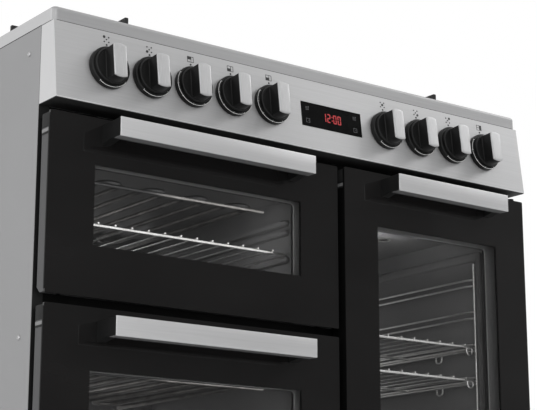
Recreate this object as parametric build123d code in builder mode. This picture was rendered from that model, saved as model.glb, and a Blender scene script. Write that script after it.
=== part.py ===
"""Range cooker, 900 mm wide: gas hob, slanted control panel and three ovens behind black glass doors.

Millimetres. +X is right and -Y the front, seen by the cook, and +Z is up. The origin is on the floor,
midway across the width and midway between the handle faces and the back.
"""

import os
from math import atan2, cos, degrees, pi, radians, sin

from build123d import *

os.makedirs("parts", exist_ok=True)

# Overall size and stock
width = 900.0
hob_depth = 600.0
hob_height = 900.0  # floor to hob rim
handle_reach = 52.0  # handle face ahead of the hob front
sheet = 1.5  # folded steel
running = 0.05  # radial clearance of pins and spindles
clearance = 0.3  # gap between faces that only sit beside each other
rod_sides = 8  # faces round a thin rod

# Casing
side_setback = 31.5  # side panel edge behind the hob front
side_return = 16.0  # folded edge of a side panel
base_height = 60.0  # floor to base pan
base_flange = 20.0
rear_recess = 25.0  # rear panel ahead of the back edge
plinth_height = 84.0
plinth_top = 100.0
foot_diameter = 42.0
foot_pad = 12.0
foot_stem = 12.0
foot_inset = 70.0

# Hob
hob_rim = 21.0
hob_edge_radius = 5.0
hob_corner_radius = 8.0
well_border = 26.0
well_depth = 8.0
well_radius = 24.0
well_slope = 20.0  # degrees off upright
burner_columns = 305.0  # side burners from the middle
burner_rows = 127.0  # side burners from the middle of the depth
small_burner, medium_burner, large_burner = 62.0, 82.0, 124.0
burner_flange = 6.0
cup_depth = 32.0
cup_wall = 3.0
crown_height = 11.0
crown_wall = 9.0
slot_width = 2.4
slot_height = 5.0
slot_spacing = 11.0
cap_height = 6.0
cap_lip = 2.0
electrode_diameter = 5.0
electrode_gap = 2.0
electrode_angle = 45.0
support_rise = 26.0  # pan support top above the rim
support_bar = 8.0
support_ring_top = 10.0  # ring top above the rim
finger_thickness = 6.0
finger_lap = 12.0  # finger tip over the burner crown
finger_root = 4.0  # finger end outside the ring
support_setback = 46.0
side_support_width = 232.0
centre_support_width = 350.0

# Control panel
panel_gap = 1.0
panel_height = 115.0
panel_top_proud = 2.0
panel_bottom_proud = 16.0
panel_fold_radius = 2.5
knob_pitch = 71.3
left_knob_count, right_knob_count = 5, 4
left_knob_gap, right_knob_gap = 84.0, 89.6  # from the panel's end to the outer knob
clock_space = 227.3  # from the knob left of the clock to the knob right of it
gas_knobs = (1, 2, 6, 7, 8)
spindle_diameter = 8.0
spindle_reach = 18.0
spindle_hole = 14.0
knob_diameter = 62.0
knob_lift = 1.0  # knob off the panel
knob_rim_bevel = 2.5
collar_bevel = 1.5
flange_height = 9.0
collar_diameter = 54.0
collar_height = 5.0
grip_width = 21.0
grip_diameter = 51.0
grip_height = 18.0
face_height = 3.0
clock_centre = 37.5
clock_width, clock_height = 119.0, 40.0
clock_lip = 4.0
clock_depth = 20.0
clock_proud = 0.5
rail_diameter = 16.0
rail_setback = 48.0
rail_bend = 40.0
rail_side_gap = 60.0
inlet_diameter = 21.0
inlet_length = 22.0
tap_diameter = 24.0
tap_front = 14.0
switch_size = 42.0
switch_depth = 32.0

# Doors
door_gap = 14.0  # control panel to doors
grill_door_height = 253.0
between_doors = 13.0
door_bottom = 112.0
left_door_width = 503.5
column_gap = 7.5
door_proud = 2.0
tall_door_proud = 10.0
door_air = 8.0  # door back to side panel edge
pane = 4.0
pane_corner = 2.0
frame_inset = 2.0
side_margin, tall_side_margin = 72.0, 66.0  # glass edge to window
top_margin, deep_top_margin = 66.5, 85.0
bottom_margin = 72.0
inner_pane_lap = 14.0
strip_height = 27.5
strip_depth = 24.0
strip_inset, tall_strip_inset = 81.75, 76.0  # glass edge to handle end
strip_drop, main_strip_drop = 7.5, 16.5
strip_corner = 1.2
bracket_width = 14.0
bracket_foot = 4.0  # bracket flare at the glass
hinge_pin = 6.0
hinge_ear = 4.0
ear_radius = 6.0
hinge_play = 3.0  # slot round an ear
hinge_inset = 30.0
hinge_rise = 10.0  # pin above the door's lower edge
frame_bevel = 8.0  # lower back edge of a drop-down door, clear of its seal as it swings
hinge_setback = 12.0  # pin behind the hob front
hinge_block = 24.0
tall_hinge_inset = 10.0
tall_hinge_setback = 8.0
tall_ear_gap = 3.0
seal_width = 10.0
seal_lap = 4.0

# Ovens
left_cavity_width, tall_cavity_width = 400.0, 290.0
cavity_depth = 400.0
grill_cavity_drop, grill_cavity_height = 49.0, 160.0  # door top to cavity, cavity height
main_cavity_drop, main_cavity_height = 53.0, 290.0
tall_cavity_drop, tall_cavity_height = 54.0, 555.0
liner_flange = 12.0
ledge_width, ledge_height = 7.0, 8.0
ledge_front, ledge_back = 30.0, 30.0
grill_ledges = (69.5, 112.0, 127.0)  # above the cavity floor
main_ledges = (60.0, 115.0, 170.0, 225.0)
shelf_setback = 18.0
shelf_depth = 340.0
wire = 3.0
rod = 4.5
wire_pitch = 28.0
rack_wire = 4.0
rack_pitch = 55.0
rack_levels = 8
rack_first = 85.0  # lowest runner above the cavity floor
runner_gap = 10.5
rack_depth = 330.0
rack_setback = 22.0
rack_margin = 18.0
shelf_levels = (4, 5)
element_wire = 7.0
element_drop = 22.0
element_legs = 8
rail_drop = 5.0  # front rail under the element
element_pitch = 38.0
element_reach = 380.0
fan_diameter = 150.0
fan_width = 20.0
fan_blades = 9
fan_gap = 5.0
fan_hub = 22.0
guard_width, guard_height, guard_depth = 220.0, 200.0, 34.0
guard_slots = 9
guard_slot_width = 9.0
guard_slot_pitch = 18.0
guard_slot_length = 130.0
motor_diameter = 86.0
motor_length = 55.0
motor_hole = 16.0
vent_columns, vent_rows = 12, 4
vent_length, vent_width = 40.0, 6.0
vent_pitch_x, vent_pitch_z = 60.0, 16.0

# Planes and levels that several pieces share
front = (handle_reach - hob_depth) / 2
back = front + hob_depth
hob_bottom = hob_height - hob_rim
well_floor = hob_height - well_depth
panel_top = hob_bottom - panel_gap
panel_bottom = panel_top - panel_height
side_front = front + side_setback
frame_front = side_front + sheet
frame_back = frame_front + sheet
cavity_back = frame_back + sheet + cavity_depth
rear_face = back - rear_recess
door_back = side_front - door_air
door_top = panel_bottom - door_gap
grill_bottom = door_top - grill_door_height
main_top = grill_bottom - between_doors
tall_door_width = width - left_door_width - column_gap
left_centre = -width / 2 + left_door_width / 2
tall_centre = width / 2 - tall_door_width / 2
middle_y = front + hob_depth / 2
side_height = hob_bottom - base_height

# Hinge pin places: the two left doors turn on level pins, the tall door on upright ones
drop_hinge_y = front + hinge_setback
drop_hinge_places = [left_centre + side * (left_door_width / 2 - hinge_inset) for side in (-1, 1)]
tall_hinge_x = width / 2 - tall_hinge_inset
tall_hinge_y = front + tall_hinge_setback
upper_ear = door_top + tall_ear_gap
lower_ear = door_bottom - tall_ear_gap - hinge_ear

# Slanted face of the control panel, with its normal towards the cook
panel_tilt = degrees(atan2(panel_bottom_proud - panel_top_proud, panel_height))
panel_face = Plane(
    origin=(0, front - (panel_top_proud + panel_bottom_proud) / 2, (panel_top + panel_bottom) / 2),
    x_dir=(1, 0, 0),
    z_dir=(0, -cos(radians(panel_tilt)), sin(radians(panel_tilt))),
)
row_pitches = left_knob_count + right_knob_count - 2
row_length = left_knob_gap + row_pitches * knob_pitch + clock_space + right_knob_gap
spread = width / row_length  # the spaces in the knob row grow and shrink with the panel
knob_places = [spread * (left_knob_gap + i * knob_pitch) - width / 2 for i in range(left_knob_count)]
knob_places += [
    width / 2 - spread * (right_knob_gap + i * knob_pitch) for i in reversed(range(right_knob_count))
]
clock_place = spread * clock_centre
gas_places = [knob_places[number - 1] for number in gas_knobs]
oven_places = [x for x in knob_places if x not in gas_places]

# Cavity centres and levels: name, centre x, width, floor, height
grill_floor = door_top - grill_cavity_drop - grill_cavity_height
main_floor = main_top - main_cavity_drop - main_cavity_height
tall_floor = door_top - tall_cavity_drop - tall_cavity_height
cavities = {
    "grill": (left_centre, left_cavity_width, grill_floor, grill_cavity_height),
    "main": (left_centre, left_cavity_width, main_floor, main_cavity_height),
    "tall": (tall_centre, tall_cavity_width, tall_floor, tall_cavity_height),
}

# Burners: centre and crown diameter
burners = [
    (-burner_columns, middle_y - burner_rows, small_burner),
    (-burner_columns, middle_y + burner_rows, medium_burner),
    (0, middle_y, large_burner),
    (burner_columns, middle_y - burner_rows, medium_burner),
    (burner_columns, middle_y + burner_rows, small_burner),
]


def facing(y):
    """A plane at depth y whose normal points to the cook."""
    return Plane.XZ.offset(-y)


def keep(piece, name):
    """Label a finished piece and write it."""
    piece.part.label = name
    export_step(piece.part, f"parts/{name}.step")


# Casing
side_length = back - side_front
with BuildPart() as side_panels:
    with BuildSketch(Plane.XY.offset(base_height)):
        with Locations((0, side_front + side_length / 2)):
            with GridLocations(width - side_return, 0, 2, 1):
                Rectangle(side_return, side_length)
            Rectangle(width - 2 * sheet, side_length - 2 * sheet, mode=Mode.SUBTRACT)
    extrude(amount=side_height)
    for level in (upper_ear, lower_ear):
        with BuildSketch(Plane.XY.offset(level - clearance)):
            with Locations((tall_hinge_x, side_front + sheet / 2)):
                Rectangle(2 * (ear_radius + clearance), sheet)
        extrude(amount=hinge_ear + 2 * clearance, mode=Mode.SUBTRACT)
keep(side_panels, "side_panels")

inner_width = width - 2 * sheet
inlet_x = width / 2 - sheet - rail_side_gap
rail_y = front + rail_setback
rail_z = (panel_top + panel_bottom) / 2

with BuildPart() as rear_panel:
    with BuildSketch(facing(rear_face)):
        with Locations((0, base_height + side_height / 2)):
            Rectangle(inner_width, side_height)
        with Locations((0, hob_bottom - vent_rows * vent_pitch_z - base_flange)):
            with GridLocations(vent_pitch_x, vent_pitch_z, vent_columns, vent_rows):
                SlotOverall(vent_length, vent_width, mode=Mode.SUBTRACT)
        with Locations((inlet_x, rail_z)):
            Circle(inlet_diameter / 2 + clearance, mode=Mode.SUBTRACT)
    extrude(amount=sheet)
keep(rear_panel, "rear_panel")

base_depth = rear_face - sheet - frame_back
with BuildPart() as base_pan:
    with BuildSketch(Plane.XY.offset(base_height)):
        with Locations((0, frame_back + base_depth / 2)):
            Rectangle(inner_width, base_depth)
    extrude(amount=base_flange)
    offset(amount=-sheet, openings=base_pan.faces().sort_by(Axis.Z)[-1])
keep(base_pan, "base_pan")

with BuildPart() as plinth_panel:
    with BuildSketch(facing(frame_back)):
        with Locations((0, plinth_top - plinth_height / 2)):
            Rectangle(inner_width, plinth_height)
    extrude(amount=sheet)
keep(plinth_panel, "plinth_panel")

with BuildPart() as levelling_feet:
    foot_spacing = (width - 2 * foot_inset, base_depth - 2 * foot_inset)
    with BuildSketch(Plane.XY):
        with Locations((0, frame_back + base_depth / 2)):
            with GridLocations(*foot_spacing, 2, 2):
                Circle(foot_diameter / 2)
    extrude(amount=foot_pad)
    chamfer(levelling_feet.edges().group_by(Axis.Z)[-1], foot_pad / 4)
    with BuildSketch(Plane.XY.offset(foot_pad)):
        with Locations((0, frame_back + base_depth / 2)):
            with GridLocations(*foot_spacing, 2, 2):
                RegularPolygon(foot_stem / 2, rod_sides)
    extrude(amount=base_height - foot_pad)
keep(levelling_feet, "levelling_feet")

with BuildPart() as front_frame:
    with BuildSketch(facing(frame_back)):
        with Locations((0, (plinth_top + panel_bottom) / 2)):
            Rectangle(inner_width, panel_bottom - plinth_top)
        for centre, cavity_width, floor, height in cavities.values():
            with Locations((centre, floor + height / 2)):
                Rectangle(cavity_width, height, mode=Mode.SUBTRACT)
    extrude(amount=sheet)
    for lower_edge in (grill_bottom, door_bottom):
        for x in drop_hinge_places:
            with BuildSketch(Plane.YZ.offset(x - hinge_ear / 2)):
                with Locations((drop_hinge_y, lower_edge + hinge_rise)):
                    Circle(ear_radius)
                with Locations(((drop_hinge_y + frame_front) / 2, lower_edge + hinge_rise)):
                    Rectangle(frame_front - drop_hinge_y, 2 * ear_radius)
                with Locations((drop_hinge_y, lower_edge + hinge_rise)):
                    Circle(hinge_pin / 2 + running, mode=Mode.SUBTRACT)
            extrude(amount=hinge_ear)
    for z in (upper_ear, lower_ear):
        with BuildSketch(Plane.XY.offset(z)):
            with Locations((tall_hinge_x, tall_hinge_y)):
                Circle(ear_radius)
            with Locations((tall_hinge_x, (tall_hinge_y + frame_front) / 2)):
                Rectangle(2 * ear_radius, frame_front - tall_hinge_y)
            with Locations((tall_hinge_x, tall_hinge_y)):
                Circle(hinge_pin / 2 + running, mode=Mode.SUBTRACT)
        extrude(amount=hinge_ear)
keep(front_frame, "front_frame")

with BuildPart() as door_seals:
    with BuildSketch(facing(frame_front)):
        for centre, cavity_width, floor, height in cavities.values():
            with Locations((centre, floor + height / 2)):
                outer = 2 * (seal_lap + seal_width)
                RectangleRounded(cavity_width + outer, height + outer, seal_lap + seal_width)
                inner = 2 * seal_lap
                RectangleRounded(cavity_width + inner, height + inner, seal_lap, mode=Mode.SUBTRACT)
    extrude(amount=frame_front - door_back - clearance)
keep(door_seals, "door_seals")


# Ovens
def make_liner(oven, ledge_levels=(), shaft_hole=None):
    """Enamelled box, open to the front, with a flange behind the front frame and pressed shelf ledges."""
    centre, cavity_width, floor, height = cavities[oven]
    flange_size = (cavity_width + 2 * liner_flange, height + 2 * liner_flange)
    with BuildPart() as liner:
        with BuildSketch(facing(frame_back + sheet)):
            with Locations((centre, floor + height / 2)):
                Rectangle(*flange_size)
        extrude(amount=sheet)
        with BuildSketch(facing(cavity_back + sheet)):
            with Locations((centre, floor + height / 2)):
                Rectangle(cavity_width + 2 * sheet, height + 2 * sheet)
        extrude(amount=cavity_back + sheet - frame_back)
        with BuildSketch(facing(cavity_back)):
            with Locations((centre, floor + height / 2)):
                Rectangle(cavity_width, height)
        extrude(amount=cavity_back - frame_back, mode=Mode.SUBTRACT)
        for level in ledge_levels:
            with BuildSketch(facing(cavity_back - ledge_back)):
                for side in (-1, 1):
                    ledge_x = centre + side * (cavity_width - ledge_width) / 2
                    with Locations((ledge_x, floor + level - ledge_height / 2)):
                        Rectangle(ledge_width, ledge_height)
            extrude(amount=cavity_depth - ledge_front - ledge_back)
        if shaft_hole:
            with BuildSketch(facing(cavity_back + sheet)):
                with Locations((centre, floor + height / 2)):
                    Circle(shaft_hole / 2)
            extrude(amount=sheet, mode=Mode.SUBTRACT)
    keep(liner, f"{oven}_oven_liner")


make_liner("grill", ledge_levels=grill_ledges)
make_liner("main", ledge_levels=main_ledges, shaft_hole=motor_hole)
make_liner("tall")


def add_shelf(centre, shelf_width, level):
    """Welded wire shelf: a rod frame with wires laid over it, fused into the open part."""
    shelf_front = frame_back + shelf_setback
    with BuildSketch(Plane.XY.offset(level)) as rods:
        with Locations((centre, shelf_front + shelf_depth / 2)):
            Rectangle(shelf_width, shelf_depth)
            Rectangle(shelf_width - 2 * rod, shelf_depth - 2 * rod, mode=Mode.SUBTRACT)
            Rectangle(shelf_width, rod)
    extrude(rods.sketch, amount=rod)
    wire_count = int((shelf_width - 2 * rod) / wire_pitch)
    with BuildSketch(Plane.XY.offset(level + rod / 2)) as wires:
        with Locations((centre, shelf_front + shelf_depth / 2)):
            with GridLocations(wire_pitch, 0, wire_count, 1):
                Rectangle(wire, shelf_depth)
    extrude(wires.sketch, amount=rod / 2 + wire / 2)


with BuildPart() as tall_oven_racks:
    rack_middle = frame_back + rack_setback + rack_depth / 2
    rack_top = (rack_levels - 1) * rack_pitch + rack_first + runner_gap + rack_margin
    for side in (-1, 1):
        wall = tall_centre + side * tall_cavity_width / 2
        with BuildSketch(Plane.YZ.offset(wall - (rack_wire if side > 0 else 0))):
            with Locations((rack_middle, tall_floor + rack_top / 2)):
                with GridLocations(rack_depth - rack_wire, 0, 2, 1):
                    Rectangle(rack_wire, rack_top)
        extrude(amount=rack_wire)
        with BuildSketch(Plane.YZ.offset(wall - (2 * rack_wire if side > 0 else 0))):
            for level in range(rack_levels):
                runner = tall_floor + rack_first + level * rack_pitch
                with Locations((rack_middle, runner), (rack_middle, runner + runner_gap)):
                    Rectangle(rack_depth, rack_wire)
        extrude(amount=2 * rack_wire)
keep(tall_oven_racks, "tall_oven_racks")

with BuildPart() as oven_shelves:
    left_shelf_width = left_cavity_width - 2 * clearance
    add_shelf(left_centre, left_shelf_width, grill_floor + grill_ledges[0])
    add_shelf(left_centre, left_shelf_width, main_floor + main_ledges[1])
    tall_shelf_width = tall_cavity_width - 2 * rack_wire - 2 * clearance
    for shelf_level in shelf_levels:
        runner_top = tall_floor + rack_first + shelf_level * rack_pitch + rack_wire / 2
        add_shelf(tall_centre, tall_shelf_width, runner_top)
keep(oven_shelves, "oven_shelves")


def add_element(oven):
    """Heating element under an oven's ceiling: a rod bent back and forth, and a straight rail along its front."""
    centre, _, floor, height = cavities[oven]
    element_z = floor + height - element_drop
    element_front = cavity_back - element_reach
    stations = []
    for leg in range(element_legs):
        x = centre + (leg - (element_legs - 1) / 2) * element_pitch
        far = cavity_back if leg in (0, element_legs - 1) else cavity_back - element_pitch
        ends = [far, element_front]
        if leg % 2:
            ends.reverse()
        stations += [(x, y, element_z) for y in ends]
    with BuildLine() as path:
        FilletPolyline(*stations, radius=element_pitch / 2 - clearance)
    with BuildSketch(Plane(origin=stations[0], x_dir=(1, 0, 0), z_dir=(0, -1, 0))) as section:
        RegularPolygon(element_wire / 2, rod_sides)
    sweep(section.sketch, path=path.wires()[0])
    rail_length = element_legs * element_pitch
    with BuildSketch(Plane.YZ.offset(centre - rail_length / 2)) as rail:
        with Locations((element_front, element_z - rail_drop)):
            RegularPolygon(element_wire / 2, rod_sides)
    extrude(rail.sketch, amount=rail_length)


with BuildPart() as oven_elements:
    add_element("grill")
    add_element("main")
keep(oven_elements, "oven_elements")

# Fan of the main oven, in its rear wall
fan_z = main_floor + main_cavity_height / 2
with BuildPart() as fan_motor:
    with BuildSketch(facing(cavity_back + sheet)):
        with Locations((left_centre, fan_z)):
            Circle(motor_diameter / 2)
    extrude(amount=-motor_length)
    with BuildSketch(facing(cavity_back + sheet)):
        with Locations((left_centre, fan_z)):
            Circle(spindle_diameter / 2)
    extrude(amount=sheet + fan_gap + fan_width)
keep(fan_motor, "fan_motor")

with BuildPart() as fan_impeller:
    hub_plane = facing(cavity_back - fan_gap)
    with BuildSketch(hub_plane):
        with Locations((left_centre, fan_z)):
            Circle(fan_diameter / 2)
    extrude(amount=sheet)
    with BuildSketch(hub_plane):
        with Locations((left_centre, fan_z)):
            Circle(fan_hub / 2)
            with PolarLocations(fan_diameter * 3 / 8, fan_blades):
                Rectangle(fan_diameter / 4, sheet)
    extrude(amount=fan_width)
    with BuildSketch(hub_plane):
        with Locations((left_centre, fan_z)):
            Circle(spindle_diameter / 2 + running)
    extrude(amount=fan_width, mode=Mode.SUBTRACT)
keep(fan_impeller, "fan_impeller")

with BuildPart() as fan_guard:
    with BuildSketch(facing(cavity_back)):
        with Locations((left_centre, fan_z)):
            RectangleRounded(guard_width, guard_height, guard_slot_pitch)
    extrude(amount=guard_depth)
    offset(amount=-sheet, openings=fan_guard.faces().sort_by(Axis.Y)[-1])
    with BuildSketch(facing(cavity_back - guard_depth + sheet)):
        with Locations((left_centre, fan_z)):
            with GridLocations(guard_slot_pitch, 0, guard_slots, 1):
                SlotOverall(guard_slot_length, guard_slot_width, rotation=90)
    extrude(amount=sheet, mode=Mode.SUBTRACT)
keep(fan_guard, "fan_guard")

# Hob
electrode_spots = []
for x, y, crown in burners:
    reach = crown / 2 + burner_flange + electrode_gap + electrode_diameter / 2
    electrode_spots.append((x + reach * cos(radians(electrode_angle)), y + reach * sin(radians(electrode_angle))))

with BuildPart() as hob_tray:
    with BuildSketch(Plane.XY.offset(hob_bottom)):
        with Locations((0, middle_y)):
            RectangleRounded(width, hob_depth, hob_corner_radius)
    extrude(amount=hob_rim)
    fillet(hob_tray.edges().group_by(Axis.Z)[-1], hob_edge_radius)
    with BuildSketch(Plane.XY.offset(well_floor)):
        with Locations((0, middle_y)):
            RectangleRounded(width - 2 * well_border, hob_depth - 2 * well_border, well_radius)
    extrude(amount=well_depth, taper=-well_slope, mode=Mode.SUBTRACT)
    offset(amount=-sheet, openings=hob_tray.faces().sort_by(Axis.Z)[0])
    with BuildSketch(Plane.XY.offset(well_floor)):
        for x, y, crown in burners:
            with Locations((x, y)):
                Circle(crown / 2 - cup_wall)
        for x, y in electrode_spots:
            with Locations((x, y)):
                Circle(electrode_diameter / 2 + clearance)
    extrude(amount=-2 * sheet, mode=Mode.SUBTRACT)
keep(hob_tray, "hob_tray")

with BuildPart() as burner_cups:
    for x, y, crown in burners:
        throat = crown / 2 - 2 * cup_wall
        lip = crown / 2 + burner_flange
        barrel = crown / 2 - cup_wall - clearance
        flange_top = well_floor + cup_wall
        with BuildSketch(Plane.XZ.offset(-y)):
            with BuildLine():
                Polyline(
                    (x, well_floor - cup_depth),
                    (x + barrel, well_floor - cup_depth),
                    (x + barrel, well_floor),
                    (x + lip, well_floor),
                    (x + lip, flange_top),
                    (x + throat, flange_top),
                    (x + throat, well_floor - cup_depth + cup_wall),
                    (x, well_floor - cup_depth + cup_wall),
                    close=True,
                )
            make_face()
        revolve(axis=Axis((x, y, 0), (0, 0, 1)))
    with BuildSketch(Plane.XY.offset(well_floor - cup_depth)):
        for x, y in electrode_spots:
            with Locations((x, y)):
                RegularPolygon(electrode_diameter / 2, rod_sides)
    extrude(amount=cup_depth + cup_wall + crown_height)
keep(burner_cups, "burner_cups")

with BuildPart() as burner_crowns:
    for x, y, crown in burners:
        crown_base = well_floor + cup_wall
        with BuildSketch(Plane.XY.offset(crown_base)):
            with Locations((x, y)):
                Circle(crown / 2)
                Circle(crown / 2 - crown_wall, mode=Mode.SUBTRACT)
        extrude(amount=crown_height)
        flames = int(pi * crown / slot_spacing)
        with BuildSketch(Plane.XY.offset(crown_base + crown_height)):
            with Locations((x, y)):
                with PolarLocations(crown / 2, flames):
                    Rectangle(3 * crown_wall, slot_width)
        extrude(amount=-slot_height, mode=Mode.SUBTRACT)
keep(burner_crowns, "burner_crowns")

with BuildPart() as burner_caps:
    for x, y, crown in burners:
        with BuildSketch(Plane.XY.offset(well_floor + cup_wall + crown_height)):
            with Locations((x, y)):
                Circle(crown / 2 + cap_lip)
        extrude(amount=cap_height)
    fillet(burner_caps.edges().group_by(Axis.Z)[-1], cap_height / 2)
keep(burner_caps, "burner_caps")

support_depth = hob_depth - 2 * support_setback
ring_base = hob_height + support_ring_top - support_bar


def add_finger(burner_x, burner_y, crown, direction, start):
    """Upright rib from the ring to over the burner's edge, with a square outer end and a shallow tip."""
    angle = {"right": 0, "rear": 90, "left": 180, "front": 270}[direction]
    upright = Plane(
        origin=(burner_x, burner_y, 0),
        x_dir=(cos(radians(angle)), sin(radians(angle)), 0),
        z_dir=(sin(radians(angle)), -cos(radians(angle)), 0),
    )
    support_top = hob_height + support_rise
    tip = crown / 2 - finger_lap
    knee = crown / 2 + burner_flange
    with BuildSketch(upright.offset(-finger_thickness / 2)) as rib:
        with BuildLine():
            Polyline(
                (tip, support_top),
                (start, support_top),
                (start, ring_base),
                (start - 2 * support_bar, ring_base),
                (knee, support_top - support_bar),
                (tip, support_top - support_bar),
                close=True,
            )
        make_face()
    extrude(rib.sketch, amount=finger_thickness)


def make_support(name, centre, support_width, bars):
    """Cast pan support: ring, cross bars, feet in the corners and four fingers to each burner."""
    with BuildPart() as support:
        with BuildSketch(Plane.XY.offset(ring_base)):
            with Locations((centre, middle_y)):
                Rectangle(support_width, support_depth)
                inner = (support_width - 2 * support_bar, support_depth - 2 * support_bar)
                Rectangle(*inner, mode=Mode.SUBTRACT)
            for y in bars:
                with Locations((centre, y)):
                    Rectangle(support_width, support_bar)
        extrude(amount=support_bar)
        with BuildSketch(Plane.XY.offset(well_floor)):
            with Locations((centre, middle_y)):
                with GridLocations(support_width - support_bar, support_depth - support_bar, 2, 2):
                    Rectangle(support_bar, support_bar)
        extrude(amount=ring_base - well_floor)
        edges = sorted([middle_y - support_depth / 2, *bars, middle_y + support_depth / 2])
        for _, burner_y, crown in [burner for burner in burners if burner[0] == centre]:
            before = max(y for y in edges if y < burner_y)
            after = min(y for y in edges if y > burner_y)
            side_start = support_width / 2 + finger_root
            for direction, start in (
                ("left", side_start),
                ("right", side_start),
                ("front", burner_y - before + (finger_root if before == edges[0] else 0)),
                ("rear", after - burner_y + (finger_root if after == edges[-1] else 0)),
            ):
                add_finger(centre, burner_y, crown, direction, start)
    keep(support, name)


side_rows = [middle_y - burner_rows, middle_y + burner_rows]
make_support("pan_support_left", -burner_columns, side_support_width, [middle_y])
make_support("pan_support_centre", 0, centre_support_width, side_rows)
make_support("pan_support_right", burner_columns, side_support_width, [middle_y])

# Controls
with BuildPart() as control_panel:
    with BuildSketch(Plane.YZ.offset(-width / 2)):
        with BuildLine():
            Polyline(
                (front - panel_top_proud, panel_top),
                (front - panel_bottom_proud, panel_bottom),
                (side_front, panel_bottom),
                (side_front, panel_top),
                close=True,
            )
        make_face()
    extrude(amount=width)
    lower_fold = control_panel.edges().filter_by(Axis.X).sort_by(Axis.Y)[0]
    fillet(lower_fold, panel_fold_radius)
    offset(amount=-sheet, openings=control_panel.faces().sort_by(Axis.Y)[-1])
    with BuildSketch(panel_face.offset(sheet)):
        with Locations(*[(x, 0) for x in knob_places]):
            Circle(spindle_hole / 2)
        with Locations((clock_place, 0)):
            Rectangle(clock_width, clock_height)
    extrude(amount=-4 * sheet, mode=Mode.SUBTRACT)
keep(control_panel, "control_panel")

with BuildPart() as clock_module:
    with BuildSketch(panel_face.offset(-sheet)):
        with Locations((clock_place, 0)):
            Rectangle(clock_width - clearance, clock_height - clearance)
    extrude(amount=sheet + clock_proud)
    with BuildSketch(panel_face.offset(-sheet)):
        with Locations((clock_place, 0)):
            Rectangle(clock_width + 2 * clock_lip, clock_height + 2 * clock_lip)
    extrude(amount=-clock_depth)
keep(clock_module, "clock_module")

with BuildPart() as gas_rail:
    with BuildLine() as rail_path:
        FilletPolyline(
            (-width / 2 + sheet, rail_y, rail_z),
            (inlet_x, rail_y, rail_z),
            (inlet_x, back - inlet_length, rail_z),
            radius=rail_bend,
        )
    with BuildSketch(Plane(origin=rail_path.line @ 0, z_dir=rail_path.line % 0)):
        Circle(rail_diameter / 2)
    sweep(path=rail_path.wires()[0])
    with BuildSketch(facing(back - inlet_length)):
        with Locations((inlet_x, rail_z)):
            Circle(inlet_diameter / 2)
    extrude(amount=-inlet_length)
    with BuildSketch(panel_face.offset(-tap_front)):
        with Locations(*[(x, 0) for x in gas_places]):
            Circle(tap_diameter / 2)
    extrude(amount=-(rail_setback + rail_diameter / 2))
    with BuildSketch(panel_face.offset(-tap_front)):
        with Locations(*[(x, 0) for x in gas_places]):
            Circle(spindle_diameter / 2)
    extrude(amount=tap_front + spindle_reach)
keep(gas_rail, "gas_rail")

with BuildPart() as oven_switches:
    with BuildSketch(panel_face.offset(-sheet)):
        with Locations(*[(x, 0) for x in oven_places]):
            Rectangle(switch_size, switch_size)
    extrude(amount=-switch_depth)
    with BuildSketch(panel_face.offset(-sheet)):
        with Locations(*[(x, 0) for x in oven_places]):
            Circle(spindle_diameter / 2)
    extrude(amount=sheet + spindle_reach)
keep(oven_switches, "oven_switches")


def make_knob(number, x):
    """Black knob with a stepped round base and a grip bar, and its separate metal face."""
    centre = panel_face.from_local_coords((x, 0, 0))
    base = Plane(origin=centre, x_dir=panel_face.x_dir, z_dir=panel_face.z_dir)
    axis = Axis(base.origin, base.z_dir)
    collar_base = knob_lift + flange_height
    grip_base = collar_base + collar_height
    face_base = grip_base + grip_height
    with BuildPart() as knob:
        with BuildSketch(base.offset(knob_lift)):
            Circle(knob_diameter / 2)
        extrude(amount=flange_height)
        chamfer(knob.edges().sort_by(axis)[-1], knob_rim_bevel)
        with BuildSketch(base.offset(collar_base)):
            Circle(collar_diameter / 2)
        extrude(amount=collar_height)
        chamfer(knob.edges().sort_by(axis)[-1], collar_bevel)
        with BuildSketch(base.offset(grip_base)):
            Circle(grip_diameter / 2)
            Rectangle(grip_width, grip_diameter, mode=Mode.INTERSECT)
        extrude(amount=grip_height)
        with BuildSketch(base.offset(knob_lift)):
            Circle(spindle_diameter / 2 + running)
        extrude(amount=spindle_reach, mode=Mode.SUBTRACT)
    keep(knob, f"knob_{number}")
    with BuildPart() as face:
        with BuildSketch(base.offset(face_base)):
            Circle(grip_diameter / 2)
            Rectangle(grip_width, grip_diameter, mode=Mode.INTERSECT)
        extrude(amount=face_height)
        fillet(face.faces().sort_by(axis)[-1].edges(), face_height * 2 / 3)
    keep(face, f"knob_face_{number}")


for number, x in enumerate(knob_places, start=1):
    make_knob(number, x)


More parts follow.
